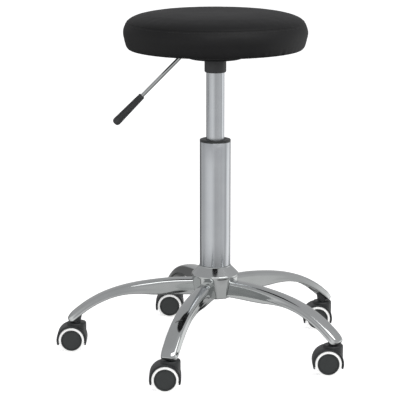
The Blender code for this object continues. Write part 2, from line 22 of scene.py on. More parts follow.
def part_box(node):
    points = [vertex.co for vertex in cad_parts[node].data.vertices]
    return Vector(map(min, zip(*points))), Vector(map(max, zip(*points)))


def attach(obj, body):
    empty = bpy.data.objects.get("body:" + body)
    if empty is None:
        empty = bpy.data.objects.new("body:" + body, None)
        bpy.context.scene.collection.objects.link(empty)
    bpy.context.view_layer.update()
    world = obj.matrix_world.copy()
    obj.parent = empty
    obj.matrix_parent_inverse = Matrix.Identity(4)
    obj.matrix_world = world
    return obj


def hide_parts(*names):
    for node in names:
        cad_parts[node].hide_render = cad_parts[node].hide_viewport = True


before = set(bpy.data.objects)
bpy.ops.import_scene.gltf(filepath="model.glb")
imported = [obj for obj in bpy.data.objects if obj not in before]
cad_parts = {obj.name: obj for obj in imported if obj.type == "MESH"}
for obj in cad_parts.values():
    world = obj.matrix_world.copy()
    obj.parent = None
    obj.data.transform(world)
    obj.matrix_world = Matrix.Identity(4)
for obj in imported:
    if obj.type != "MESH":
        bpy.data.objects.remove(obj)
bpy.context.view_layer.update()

MM = 0.001
CASTERS = 5
WAVE_FACTOR = 20  # a wave texture multiplies its coordinates by this, and by half of it for slanted bands
LOG = logging.getLogger("stool")

Profile = Sequence[tuple[float, float]]
Colour = tuple[float, float, float, float]


class Slot(Enum):
    """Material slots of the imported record."""

    VINYL = "black_vinyl"
    PLYWOOD = "plywood"
    LINING = "lining_cloth"
    ENAMEL = "black_enamel"
    CHROME = "chrome_plate"
    ZINC = "zinc_steel"
    NYLON = "black_nylon"
    TREAD = "pale_tread"


# ---------------------------------------------------------------- small tools


def deselect() -> None:
    """Leaves object mode with nothing selected."""
    if bpy.context.object and bpy.context.object.mode != "OBJECT":
        bpy.ops.object.mode_set(mode="OBJECT")
    bpy.ops.object.select_all(action="DESELECT")


def make_active(piece: bpy.types.Object) -> None:
    """Selects one piece alone and makes it active."""
    deselect()
    piece.select_set(True)
    bpy.context.view_layer.objects.active = piece


def named(name: str) -> bpy.types.Object:
    """Names the active object and its mesh, and returns it."""
    piece = bpy.context.object
    piece.name = name
    piece.data.name = name
    return piece


def apply_modifiers(piece: bpy.types.Object) -> None:
    """Applies every modifier of a piece, first to last."""
    make_active(piece)
    for modifier in list(piece.modifiers):
        bpy.ops.object.modifier_apply(modifier=modifier.name)


def settle(piece: bpy.types.Object) -> None:
    """Puts the place, turn and scale of a piece into its mesh."""
    make_active(piece)
    bpy.ops.object.transform_apply(location=True, rotation=True, scale=True)


def joined(pieces: Sequence[bpy.types.Object], name: str) -> bpy.types.Object:
    """Joins pieces into one, names it and returns it."""
    deselect()
    for piece in pieces:
        piece.select_set(True)
    bpy.context.view_layer.objects.active = pieces[0]
    bpy.ops.object.join()
    return named(name)


def points_of(piece: bpy.types.Object) -> np.ndarray:
    """Reads the places of a piece's vertices in metres, one a row."""
    places = np.zeros(len(piece.data.vertices) * 3)
    piece.data.vertices.foreach_get("co", places)
    return places.reshape(-1, 3)


def set_points(piece: bpy.types.Object, places: np.ndarray) -> None:
    """Moves a piece's vertices to new places in metres."""
    piece.data.vertices.foreach_set("co", places.ravel())
    piece.data.update()


def extent(node: str) -> tuple[float, float, float]:
    """Gives a CAD node's reach along +X and its lowest and highest points, in mm."""
    low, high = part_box(node)
    return high.x / MM, low.z / MM, high.z / MM


def angles(count: int) -> list[float]:
    """Spreads a number of angles evenly over a full turn, in radians."""
    return [2 * math.pi * k / count for k in range(count)]


def smooth(piece: bpy.types.Object, angle: float = 35.0) -> None:
    """Shades a piece smooth, except over edges sharper than an angle.

    Args:
        piece: the piece to shade.
        angle: the angle in degrees.
    """
    make_active(piece)
    bpy.ops.object.shade_smooth_by_angle(angle=math.radians(angle))


def ease_edges(piece: bpy.types.Object, width: float, angle: float = 32.0, segments: int = 3) -> None:
    """Rounds the sharp edges of a piece with an applied Bevel.

    Args:
        piece: the piece.
        width: the width of the rounding in mm.
        angle: edges sharper than this many degrees are rounded.
        segments: the number of faces across the rounding.
    """
    bevel = piece.modifiers.new("eased edges", "BEVEL")
    bevel.width = width * MM
    bevel.segments = segments
    bevel.limit_method = "ANGLE"
    bevel.angle_limit = math.radians(angle)
    apply_modifiers(piece)


def cut(piece: bpy.types.Object, other: bpy.types.Object, operation: str = "DIFFERENCE") -> None:
    """Cuts another shape from a piece, or joins it on, and removes the other.

    Args:
        piece: the piece that stays.
        other: the cutter or the addition.
        operation: DIFFERENCE or UNION.
    """
    boolean = piece.modifiers.new("cut", "BOOLEAN")
    boolean.operation = operation
    boolean.solver = "EXACT"
    boolean.object = other
    apply_modifiers(piece)
    bpy.data.objects.remove(other)


def outward(piece: bpy.types.Object) -> None:
    """Merges doubles and points all the faces of a piece outwards."""
    make_active(piece)
    bpy.ops.object.mode_set(mode="EDIT")
    bpy.ops.mesh.select_all(action="SELECT")
    bpy.ops.mesh.remove_doubles(threshold=0.00001)
    bpy.ops.mesh.normals_make_consistent(inside=False)
    bpy.ops.object.mode_set(mode="OBJECT")


def select_near(piece: bpy.types.Object, test: Callable[[Vector], bool]) -> None:
    """Selects, in edit mode, the vertices whose place passes a test."""
    mesh = bmesh.from_edit_mesh(piece.data)
    bpy.ops.mesh.select_all(action="DESELECT")
    for vertex in mesh.verts:
        vertex.select = test(vertex.co)
    mesh.select_flush(True)
    bmesh.update_edit_mesh(piece.data)


def turned(name: str, profile: Profile, sides: int = 96) -> bpy.types.Object:
    """Turns a profile about +Z: a circle is extruded and resized from step to step.

    Args:
        name: the name of the piece.
        profile: (radius, height) in mm, from one end to the other. A radius of 0 closes that end, and a
            profile that ends where it starts makes a ring.
        sides: the number of faces round the piece.

    Returns:
        The turned piece, with its faces pointing outwards.
    """
    steps = list(profile)
    first = steps[1] if steps[0][0] == 0 else steps[0]
    deselect()
    bpy.ops.mesh.primitive_circle_add(vertices=sides, radius=first[0] * MM, location=(0, 0, first[1] * MM))
    piece = named(name)
    settle(piece)
    bpy.ops.object.mode_set(mode="EDIT")
    bpy.ops.mesh.select_all(action="SELECT")
    if steps[0][0] == 0:
        bpy.ops.mesh.extrude_region_move(
            TRANSFORM_OT_translate={"value": (0, 0, (steps[0][1] - first[1]) * MM)}
        )
        bpy.ops.mesh.merge(type="CENTER")
        select_near(piece, lambda p: math.hypot(p.x, p.y) > first[0] * MM * 0.5)
        steps = steps[1:]
    for (near_r, near_z), (far_r, far_z) in zip(steps, steps[1:]):
        bpy.ops.mesh.extrude_region_move(TRANSFORM_OT_translate={"value": (0, 0, (far_z - near_z) * MM)})
        if far_r == 0:
            bpy.ops.mesh.merge(type="CENTER")
        elif far_r != near_r:
            k = far_r / near_r
            bpy.ops.transform.resize(value=(k, k, 1), center_override=(0, 0, far_z * MM))
    bpy.ops.object.mode_set(mode="OBJECT")
    outward(piece)
    return piece


def lofted(name: str, sections: Sequence[Sequence[Vector]], closed: bool = True) -> bpy.types.Object:
    """Extrudes a ring from section to section and shapes each new ring to its section.

    Args:
        name: the name of the piece.
        sections: rings of points in mm, all of the same number.
        closed: True fills the two ends.

    Returns:
        The piece, with its faces pointing outwards.
    """
    deselect()
    bpy.ops.mesh.primitive_circle_add(vertices=len(sections[0]), radius=MM)
    piece = named(name)
    bpy.ops.object.mode_set(mode="EDIT")
    mesh = bmesh.from_edit_mesh(piece.data)
    mesh.verts.ensure_lookup_table()
    for vertex, point in zip(mesh.verts, sections[0]):
        vertex.co = point * MM
    bpy.ops.mesh.select_all(action="SELECT")
    start = 0
    for section in sections[1:]:
        bpy.ops.mesh.extrude_region_move(TRANSFORM_OT_translate={"value": (0, 0, 0)})
        mesh = bmesh.from_edit_mesh(piece.data)
        mesh.verts.ensure_lookup_table()
        order = {}
        for vertex in mesh.verts[-len(section) :]:
            for edge in vertex.link_edges:
                other = edge.other_vert(vertex).index
                if start <= other < start + len(section):
                    order[vertex.index] = other - start
        if len(set(order.values())) != len(section):
            raise RuntimeError(f"{name}: a section lost its order")
        fresh = list(mesh.verts[-len(section) :])
        ranked = sorted(fresh, key=lambda v: order[v.index])
        for vertex, point in zip(ranked, section):
            vertex.co = point * MM
        ranks = [v.index for v in ranked]
        start = min(ranks)
        if ranks != list(range(start, start + len(section))):
            raise RuntimeError(f"{name}: a section changed its order")
    if closed:
        bpy.ops.mesh.edge_face_add()
        mesh = bmesh.from_edit_mesh(piece.data)
        mesh.verts.ensure_lookup_table()
        bpy.ops.mesh.select_all(action="DESELECT")
        for vertex in mesh.verts[: len(sections[0])]:
            vertex.select = True
        mesh.select_flush(True)
        bmesh.update_edit_mesh(piece.data)
        bpy.ops.mesh.edge_face_add()
    bpy.ops.object.mode_set(mode="OBJECT")
    outward(piece)
    return piece


def copied(piece: bpy.types.Object, name: str, place: Matrix) -> bpy.types.Object:
    """Copies a piece with its own mesh and sets the copy in its place.

    Args:
        piece: the piece to copy.
        name: the name of the copy.
        place: where the copy goes, put into its mesh.

    Returns:
        The copy.
    """
    made = piece.copy()
    made.data = piece.data.copy()
    made.name = name
    made.data.name = name
    made.data.transform(place)
    bpy.context.scene.collection.objects.link(made)
    return made


def curve_through(knots: Sequence[Sequence[float]], between: int) -> list[list[float]]:
    """Runs a smooth curve through rows of numbers.

    Args:
        knots: the rows that the curve passes through.
        between: the number of steps from one row to the next.

    Returns:
        The rows along the curve, the knots among them.
    """
    points = np.array(knots, float)
    padded = np.vstack([2 * points[0] - points[1], points, 2 * points[-1] - points[-2]])
    rows = []
    for n in range(len(points) - 1):
        a, b, c, d = padded[n : n + 4]
        for step in range(between):
            t = step / between
            tangent_b, tangent_c = (c - a) / 2, (d - b) / 2
            rows.append(
                (2 * t**3 - 3 * t**2 + 1) * b
                + (t**3 - 2 * t**2 + t) * tangent_b
                + (3 * t**2 - 2 * t**3) * c
                + (t**3 - t**2) * tangent_c
            )
    rows.append(points[-1])
    return [list(map(float, row)) for row in rows]


def corner_cut(points: np.ndarray, rounds: int) -> np.ndarray:
    """Rounds a closed outline by cutting its corners again and again.

    Args:
        points: the outline's points, one a row.
        rounds: the number of times that the corners are cut.

    Returns:
        The rounded outline.
    """
    for _ in range(rounds):
        after = np.roll(points, -1, axis=0)
        points = np.stack([0.78 * points + 0.22 * after, 0.22 * points + 0.78 * after], axis=1)
        points = points.reshape(-1, points.shape[-1])
    return points


# ------------------------------------------------------------------- finishes


def linear(code: str) -> Colour:
    """Turns an sRGB hex colour such as 1C1D1F into a linear colour with alpha 1."""
    parts = [int(code[n : n + 2], 16) / 255 for n in (0, 2, 4)]
    red, green, blue = (v / 12.92 if v <= 0.04045 else ((v + 0.055) / 1.055) ** 2.4 for v in parts)
    return (red, green, blue, 1.0)


def add_node(
    tree: bpy.types.NodeTree,
    kind: str,
    settings: dict[str, object] | None = None,
    inputs: dict[str | int, object] | None = None,
) -> bpy.types.Node:
    """Adds one node with its settings, values and links.

    Args:
        tree: the node tree.
        kind: the node's type.
        settings: attributes of the node.
        inputs: an output socket to link, or a value, for each input.

    Returns:
        The node.
    """
    node = tree.nodes.new(kind)
    for key, value in (settings or {}).items():
        setattr(node, key, value)
    for socket, value in (inputs or {}).items():
        if isinstance(value, bpy.types.NodeSocket):
            tree.links.new(value, node.inputs[socket])
        else:
            node.inputs[socket].default_value = value
    return node


def texture(
    tree: bpy.types.NodeTree,
    kind: str,
    where: bpy.types.NodeSocket,
    size_mm: float,
    output: str = "Fac",
    settings: dict[str, object] | None = None,
    **values: float,
) -> bpy.types.NodeSocket:
    """Adds a procedural texture that is scaled in real millimetres.

    Args:
        tree: the node tree.
        kind: Noise, Voronoi or Wave.
        where: the coordinates that it reads.
        size_mm: the size of its features.
        output: the output that is wanted.
        settings: attributes of the node.
        values: its other inputs.

    Returns:
        The output socket.
    """
    inputs = {"Vector": where, "Scale": 1000 / size_mm, **values}
    return add_node(tree, f"ShaderNodeTex{kind}", settings, inputs).outputs[output]


def ramp(tree: bpy.types.NodeTree, factor: bpy.types.NodeSocket, stops: Sequence[tuple[float, Colour]]):
    """Adds a colour ramp with its stops.

    Args:
        tree: the node tree.
        factor: the socket that drives the ramp.
        stops: (position, linear colour) of each stop, from low to high.

    Returns:
        The ramp's colour socket.
    """
    node = add_node(tree, "ShaderNodeValToRGB", None, {"Fac": factor})
    elements = node.color_ramp.elements
    while len(elements) < len(stops):
        elements.new(1.0)
    for element, (position, colour) in zip(elements, stops):
        element.position = position
        element.color = colour
    return node.outputs["Color"]


@dataclass(frozen=True)
class Finish:
    """A surface finish: its real name, its record slot and the constants of its shader."""

    name: str
    slot: Slot
    colour: str
    colour_low: str
    metallic: float = 0.0
    roughness_low: float = 0.4
    roughness_high: float = 0.5
    ior: float = 1.5
    mottle_mm: float = 40.0

    def new_material(self) -> tuple[bpy.types.Material, bpy.types.Node, bpy.types.NodeSocket]:
        """Starts the material, with colour and roughness that vary softly over the piece.

        Returns:
            The material, its shader node and the Object coordinates.
        """
        material = bpy.data.materials.new(self.name)
        material.use_nodes = True
        tree = material.node_tree
        shader = tree.nodes["Principled BSDF"]
        where = add_node(tree, "ShaderNodeTexCoord").outputs["Object"]
        mottle = texture(tree, "Noise", where, self.mottle_mm, Detail=4.0, Roughness=0.6)
        tone = ramp(tree, mottle, ((0.3, linear(self.colour_low)), (0.7, linear(self.colour))))
        tree.links.new(tone, shader.inputs["Base Color"])
        dull = add_node(
            tree,
            "ShaderNodeMapRange",
            None,
            {
                "Value": mottle,
                "From Min": 0.3,
                "From Max": 0.7,
                "To Min": self.roughness_low,
                "To Max": self.roughness_high,
            },
        ).outputs["Result"]
        tree.links.new(dull, shader.inputs["Roughness"])
        shader.inputs["Metallic"].default_value = self.metallic
        if self.metallic == 0:
            shader.inputs["IOR"].default_value = self.ior
        return material, shader, where

    def bumped(
        self,
        shader: bpy.types.Node,
        height: bpy.types.NodeSocket,
        depth_mm: float,
        strength: float,
        under: bpy.types.NodeSocket | None = None,
    ) -> bpy.types.NodeSocket:
        """Links a height to the shader as bump.

        Args:
            shader: the shader node.
            height: the height from 0 to 1.
            depth_mm: how deep a height of 1 stands.
            strength: the share of the bump that shows.
            under: the normal that this bump is added to.

        Returns:
            The normal with the bump.
        """
        tree = shader.id_data
        inputs = {"Height": height, "Distance": depth_mm * MM, "Strength": strength}
        if under is not None:
            inputs["Normal"] = under
        normal = add_node(tree, "ShaderNodeBump", None, inputs).outputs["Normal"]
        tree.links.new(normal, shader.inputs["Normal"])
        return normal

    def build(self) -> bpy.types.Material:
        """Makes the material. The plain finish has no relief."""
        return self.new_material()[0]


@dataclass(frozen=True)
class FauxLeather(Finish):
    """PVC-coated fabric, embossed with a fine leather grain: a soft semi-matt sheen and low ridges."""

    grain_mm: float = 1.5  # real grain is about 0.8 mm; drawn coarser so that it shows
    drift_mm: float = 9.0
    pore_mm: float = 0.5
    wave_mm: float = 55.0

    def build(self) -> bpy.types.Material:
        """Makes the material with pebbled grain, fine pores and slow tension waves."""
        material, shader, where = self.new_material()
        tree = material.node_tree
        drift = texture(tree, "Noise", where, self.drift_mm, "Color", Detail=2.0)
        wander = add_node(
            tree,
            "ShaderNodeMixRGB",
            {"blend_type": "LINEAR_LIGHT"},
            {"Fac": 0.0012, "Color1": where, "Color2": drift},
        ).outputs["Color"]
        rounded = {"feature": "SMOOTH_F1"}
        pebbles = texture(tree, "Voronoi", wander, self.grain_mm, "Distance", rounded, Smoothness=0.6)
        pores = texture(tree, "Noise", where, self.pore_mm, Detail=2.0)
        waves = texture(tree, "Noise", where, self.wave_mm, Detail=2.0, Distortion=0.6)
        slow = self.bumped(shader, waves, 1.6, 0.35)
        grain = self.bumped(shader, pebbles, 0.16, 0.5, slow)
        self.bumped(shader, pores, 0.03, 0.4, grain)
        return material


@dataclass(frozen=True)
class ChromePlate(Finish):
    """Bright chrome plate on polished steel or zinc: a near-mirror with faint polishing haze and waviness."""

    ripple_mm: float = 26.0
    ripple_depth: float = 0.05
    hair_mm: float = 0.7

    def build(self) -> bpy.types.Material:
        """Makes the material with a slow ripple from polishing and hair-fine wipe marks."""
        material, shader, where = self.new_material()
        tree = material.node_tree
        ripple = texture(tree, "Noise", where, self.ripple_mm, Detail=1.0)
        wiped = add_node(tree, "ShaderNodeMapping", None, {"Vector": where, "Scale": (1.0, 1.0, 0.08)})
        hairs = texture(tree, "Noise", wiped.outputs["Vector"], self.hair_mm, Detail=3.0)
        slow = self.bumped(shader, ripple, self.ripple_depth, 0.4)
        self.bumped(shader, hairs, 0.004, 0.25, slow)
        return material


@dataclass(frozen=True)
class GroundChrome(ChromePlate):
    """Chrome on a tube that was ground round and round: sharp across, drawn out along the tube."""

    drawn: float = 0.92  # 0 for round highlights, 1 for fully drawn out

    def build(self) -> bpy.types.Material:
        """Makes the material with highlights drawn out along the tube."""
        material = super().build()
        tree = material.node_tree
        shader = tree.nodes["Principled BSDF"]
        along = add_node(
            tree,
            "ShaderNodeVectorTransform",
            {"vector_type": "VECTOR", "convert_from": "OBJECT", "convert_to": "WORLD"},
            {"Vector": (0.0, 0.0, 1.0)},
        ).outputs["Vector"]
        tree.links.new(along, shader.inputs["Tangent"])
        shader.inputs["Anisotropic"].default_value = self.drawn
        return material


@dataclass(frozen=True)
class BrightZinc(Finish):
    """Zinc-plated steel: a satin metal with a slight spangle."""

    spangle_mm: float = 1.2

    def build(self) -> bpy.types.Material:
        """Makes the material with small spangles."""
        material, shader, where = self.new_material()
        tree = material.node_tree
        spangle = texture(tree, "Voronoi", where, self.spangle_mm, "Distance", Randomness=1.0)
        self.bumped(shader, spangle, 0.01, 0.3)
        return material


@dataclass(frozen=True)
class MouldedPlastic(Finish):
    """Injection-moulded nylon or ABS from a spark-eroded mould: fine matt pits that soften its gloss."""

    pit_mm: float = 0.6
    pit_depth: float = 0.04
    sink_mm: float = 18.0

    def build(self) -> bpy.types.Material:
        """Makes the material with spark pits and faint sink marks."""
        material, shader, where = self.new_material()
        tree = material.node_tree
        sink = texture(tree, "Noise", where, self.sink_mm, Detail=1.0)
        pits = texture(tree, "Noise", where, self.pit_mm, Detail=3.0, Roughness=0.7)
        slow = self.bumped(shader, sink, 0.2, 0.2)
        self.bumped(shader, pits, self.pit_depth, 0.5, slow)
        return material


@dataclass(frozen=True)
class Plywood(Finish):
    """Raw birch plywood: long pale grain on the faces, light and dark plies 1.5 mm thick at the edge."""

    ply_mm: float = 1.5  # two of these are one radian of the wave, so a pair of bands is 19 mm wide
    grain_mm: float = 4.0

    def build(self) -> bpy.types.Material:
        """Makes the material with face grain and plies."""
        material, shader, where = self.new_material()
        tree = material.node_tree
        stretched = add_node(tree, "ShaderNodeMapping", None, {"Vector": where, "Scale": (0.12, 1.0, 1.0)})
        grain = texture(tree, "Noise", stretched.outputs["Vector"], self.grain_mm, Detail=5.0)
        upright = {"bands_direction": "Z"}
        pair_mm = self.ply_mm * 2 * WAVE_FACTOR
        plies = texture(tree, "Wave", where, pair_mm, settings=upright, Distortion=0.3)
        both = add_node(
            tree, "ShaderNodeMath", {"operation": "MULTIPLY"}, {0: grain, 1: plies}
        ).outputs["Value"]
        tone = ramp(tree, both, ((0.1, linear(self.colour_low)), (0.5, linear(self.colour))))
        tree.links.new(tone, shader.inputs["Base Color"])
        self.bumped(shader, grain, 0.1, 0.4)
        return material


@dataclass(frozen=True)
class NonWoven(Finish):
    """Spun-bonded lining cloth: matt, with tangled fibres and a grid of small bond points."""

    bond_mm: float = 2.4
    fibre_mm: float = 0.9

    def build(self) -> bpy.types.Material:
        """Makes the material with fibres and bond points."""
        material, shader, where = self.new_material()
        tree = material.node_tree
        fibres = texture(tree, "Noise", where, self.fibre_mm, Detail=5.0, Distortion=2.0)
        bonds = texture(tree, "Voronoi", where, self.bond_mm, "Distance", Randomness=0.05)
        pressed = self.bumped(shader, bonds, 0.2, 0.5)
        self.bumped(shader, fibres, 0.15, 0.6, pressed)
        shader.inputs["Sheen Weight"].default_value = 0.15
        return material


@dataclass(frozen=True)
class Thread(Finish):
    """Bonded polyester sewing thread: two plies twisted together, with a soft lustre."""

    twist_mm: float = 0.8  # half a radian of the wave, so one twist is 10 mm long

    def build(self) -> bpy.types.Material:
        """Makes the material with the twist of the plies."""
        material, shader, where = self.new_material()
        tree = material.node_tree
        slanted = {"bands_direction": "DIAGONAL"}
        twist = texture(tree, "Wave", where, self.twist_mm * WAVE_FACTOR, settings=slanted)
        self.bumped(shader, twist, 0.08, 0.6)
        return material


class Finishes:
    """All the finishes of the stool, each built once."""

    def __init__(self) -> None:
        """Builds the materials."""
        self.made: dict[str, tuple[bpy.types.Material, Slot]] = {}
        for finish in (
            FauxLeather("black_faux_leather", Slot.VINYL, "111112", "0D0D0E", 0.0, 0.56, 0.62, 1.36, 60.0),
            Thread("black_sewing_thread", Slot.VINYL, "262627", "1A1A1B", 0.0, 0.5, 0.6, 1.5, 10.0),
            Plywood("birch_plywood", Slot.PLYWOOD, "C9A877", "9C7648", 0.0, 0.6, 0.75, 1.45, 30.0),
            NonWoven("spun_lining_cloth", Slot.LINING, "202021", "161617", 0.0, 0.85, 0.95, 1.45, 20.0),
            MouldedPlastic(
                "satin_black_enamel", Slot.ENAMEL, "0D0E0F", "0A0B0C", 0.0, 0.36, 0.44, 1.3, 30.0, 1.4, 0.03
            ),
            ChromePlate("polished_chrome_plate", Slot.CHROME, "C4C6C6", "BDC0BF", 1.0, 0.05, 0.10, 1.5, 45.0),
            GroundChrome(
                "ground_chromed_steel", Slot.CHROME, "C7CACD", "BFC2C6", 1.0, 0.17, 0.22, 1.5, 35.0,
                14.0, 0.02,
            ),
            BrightZinc("bright_zinc_plate", Slot.ZINC, "B9BBBC", "A4A6A8", 1.0, 0.28, 0.4, 1.5, 12.0),
            MouldedPlastic(
                "textured_black_nylon", Slot.NYLON, "262829", "1E2021", 0.0, 0.36, 0.46, 1.5, 20.0
            ),
            MouldedPlastic(
                "satin_black_nylon", Slot.NYLON, "2C2F2F", "272A2A", 0.0, 0.30, 0.38, 1.5, 20.0, 0.5, 0.02
            ),
            MouldedPlastic(
                "black_vinyl_grip", Slot.NYLON, "303132", "28292A", 0.0, 0.48, 0.58, 1.5, 16.0, 0.4, 0.03
            ),
            MouldedPlastic(
                "pale_polyurethane", Slot.TREAD, "F7F7F6", "F0F0EE", 0.0, 0.42, 0.55, 1.5, 15.0, 0.5, 0.03
            ),
        ):
            self.made[finish.name] = (finish.build(), finish.slot)

    def dress(
        self, piece: bpy.types.Object, finish: str, body: str, *nodes: str, angle: float = 35.0
    ) -> bpy.types.Object:
        """Gives a new piece its finish, shading, body and the CAD nodes that it stands for.

        Args:
            piece: the finished piece.
            finish: the name of its finish.
            body: the CAD body that it rides on.
            nodes: the CAD nodes that it replaces.
            angle: edges sharper than this many degrees stay crisp.

        Returns:
            The piece.
        """
        material, slot = self.made[finish]
        smooth(piece, angle)
        piece.data.materials.clear()
        piece.data.materials.append(material)
        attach(piece, body)
        if nodes:
            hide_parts(*nodes)
        LOG.info("%s: %d faces, %s, rides on %s", piece.name, len(piece.data.polygons), finish, body)
        return piece

    def repaint(self, node: str, finish: str) -> None:
        """Gives a CAD node that stays in view a better material."""
        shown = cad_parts[node]
        for place in shown.material_slots:
            place.material = self.made[finish][0]
        LOG.info("%s: CAD node kept, %s", node, finish)


# ----------------------------------------------------------------------- seat


@dataclass
class Seat:
    """Round cushion: foam on a plywood board under a sewn, stapled cover. Sizes in mm."""

    finishes: Finishes
    outline: Profile = (
        (160.0, 597.8),
        (166.4, 599.0),
        (170.2, 603.0),
        (172.8, 609.8),
        (174.8, 618.0),
        (176.4, 625.0),
        (176.8, 631.0),
        (175.9, 637.6),
        (173.8, 643.8),
        (170.8, 649.6),
        (166.2, 654.6),
        (158.8, 658.8),
        (146.5, 662.6),
        (122.0, 666.4),
        (85.0, 668.8),
        (40.0, 669.5),
    )
    pad_voxel: float = 4.2
    pad_slack: float = 1.6
    pad_cap: float = 3.0
    stapled_below: float = 600.0
    cloth_frames: int = 20
    cloth_settings: dict[str, float] = field(
        default_factory=lambda: {
            "quality": 5,
            "mass": 0.25,
            "tension_stiffness": 25,
            "compression_stiffness": 25,
            "bending_stiffness": 2.0,
            "use_pressure": True,
            "uniform_pressure_force": 4.0,
        }
    )
    fit_centre: tuple[float, float] = (120.0, 630.0)
    fit_share: float = 0.85
    pucker_from: float = 150.0
    pucker_z: float = 602.0
    pucker_half_width: float = 7.0
    swell: float = 0.5
    swell_z: float = 626.0
    swell_half_width: float = 14.0
    pocket_mouth: float = 590.0
    seam_z: float = 650.4
    seam_depth: float = 0.2
    seam_half_width: float = 1.4
    welt_r: float = 0.6
    stitch_pitch: float = 5.0
    stitch_length: float = 3.6
    stitch_r: float = 0.42
    stitch_drop: float = 4.2
    pucker_depth: float = 0.55
    lining_inner: float = 54.0
    lining_outer: float = 141.6
    staples: int = 40

    def body(self) -> bpy.types.Object:
        """Turns the plain cushion, a little slack so that the stuffing can fill it.

        Returns:
            The closed form, flat below.
        """
        outer = curve_through(self.outline, 3)
        slack = [(max(r - self.pad_slack, 1.0), z - (self.pad_slack if z > 640 else 0.0)) for r, z in outer]
        top = outer[-1][1] - self.pad_slack
        return turned("seat_cushion_cover", [(0, self.outline[0][1]), *slack, (0, top)], 128)

    def stuff(self, pad: bpy.types.Object) -> None:
        """Fills the pad by a cloth simulation that presses the cover outwards.

        The stapled underside is pinned, and no point moves further than pad_cap.

        Args:
            pad: the cushion's remeshed form.
        """
        rest = points_of(pad)
        held = pad.vertex_groups.new(name="stapled")
        for index in np.flatnonzero(rest[:, 2] < self.stapled_below * MM):
            held.add([int(index)], 1.0, "REPLACE")
        cloth = pad.modifiers.new("stuffing", "CLOTH")
        for key, value in self.cloth_settings.items():
            setattr(cloth.settings, key, value)
        cloth.settings.vertex_group_mass = held.name
        cloth.settings.effector_weights.gravity = 0.0
        scene = bpy.context.scene
        for step in range(1, self.cloth_frames + 1):
            scene.frame_set(step)
        moved = points_of(pad.evaluated_get(bpy.context.evaluated_depsgraph_get()))
        scene.frame_set(1)
        pad.modifiers.remove(cloth)
        shift = moved - rest
        length = np.linalg.norm(shift, axis=1, keepdims=True)
        shift *= np.minimum(1.0, self.pad_cap * MM / np.maximum(length, 1e-9))
        set_points(pad, rest + shift)
        LOG.info("cushion stuffed: largest move %.1f mm", 1000 * float(length.max()))

    def fit(self, pad: bpy.types.Object) -> None:
        """Draws the cover to its finished outline and works in the seam and the puckers.

        Most of what the simulation moved is drawn back to the outline, so the silhouette is the outline's.
        The puckers are waves of uneven strength round the seat.

        Args:
            pad: the stuffed cushion.
        """
        outline = np.array(curve_through(self.outline, 4))
        outline = np.vstack([outline, (0.0, outline[-1][1])])
        co = points_of(pad) / MM
        around = np.arctan2(co[:, 1], co[:, 0])
        radius = np.hypot(co[:, 0], co[:, 1])
        height = co[:, 2]
        centre = self.fit_centre
        want = np.arctan2(outline[:, 1] - centre[1], outline[:, 0] - centre[0])
        reach = np.hypot(outline[:, 1] - centre[1], outline[:, 0] - centre[0])
        order = np.argsort(want)
        here = np.arctan2(height - centre[1], radius - centre[0])
        dist = np.hypot(height - centre[1], radius - centre[0])
        far = np.interp(here, want[order], reach[order])
        inside = (radius > 120.0) & (height > 599.0)
        gain = np.where(inside, 1.0 + self.fit_share * (far / np.maximum(dist, 1.0) - 1.0), 1.0)
        radius = np.where(inside, centre[0] + (radius - centre[0]) * gain, radius)
        height = np.where(inside, centre[1] + (height - centre[1]) * gain, height)
        crown = np.interp(radius, outline[::-1, 0], outline[::-1, 1])
        top = (radius <= 122.0) & (height > 640.0)
        height = np.where(top, height + self.fit_share * (crown - height), height)
        side = radius > 150.0
        crease = np.exp(-(((height - self.seam_z) / self.seam_half_width) ** 2))
        radius = radius - np.where(side, self.seam_depth * crease, 0.0)
        gather = (
            np.sin(61 * around + 1.3) + 0.7 * np.sin(43 * around + 0.4) + 0.6 * np.sin(87 * around + 2.1)
        ) / 2.3
        patch = 0.45 + 0.55 * np.sin(3 * around + 0.8) * np.sin(5 * around + 2.6)
        outer = np.where(radius > self.pucker_from, 1.0, 0.0)
        low = np.exp(-(((height - self.pucker_z) / self.pucker_half_width) ** 2)) * outer
        under = np.exp(-(((height - self.seam_z + 4.0) / 4.0) ** 2)) * np.where(side, 1.0, 0.0)
        radius = radius + self.pucker_depth * gather * patch * low * 1.5
        radius = radius + 0.4 * self.pucker_depth * gather * np.abs(patch) * under
        slow = np.sin(4 * around + 0.6) * np.sin(7 * around + 1.9)
        band = np.exp(-(((height - self.swell_z) / self.swell_half_width) ** 2)) * np.where(side, 1.0, 0.0)
        radius = radius + self.swell * slow * band
        height = np.maximum(height, self.outline[0][1])
        set_points(pad, np.stack([radius * np.cos(around), radius * np.sin(around), height], axis=1) * MM)

    def cover(self) -> bpy.types.Object:
        """Makes the upholstered cushion with its seam, its puckers and the pocket for the board.

        Returns:
            The cushion.
        """
        pad = self.body()
        remesh = pad.modifiers.new("even mesh", "REMESH")
        remesh.mode = "VOXEL"
        remesh.voxel_size = self.pad_voxel * MM
        relax = pad.modifiers.new("relaxed", "SMOOTH")
        relax.factor = 0.5
        relax.iterations = 3
        apply_modifiers(pad)
        self.stuff(pad)
        finer = pad.modifiers.new("finer", "SUBSURF")
        finer.levels = finer.render_levels = 1
        apply_modifiers(pad)
        self.fit(pad)
        lip = self.lining_outer + 0.3
        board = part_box("seat_board")
        pocket_r, low, high = board[1].x / MM + 0.3, board[0].z / MM - 0.3, board[1].z / MM + 0.3
        mouth = [(0, self.pocket_mouth), (lip, self.pocket_mouth), (lip, low)]
        cut(pad, turned("pocket", [*mouth, (pocket_r, low), (pocket_r, high), (0, high)]))
        self.finishes.dress(pad, "black_faux_leather", "seat", "seat_cushion", angle=50.0)
        return pad

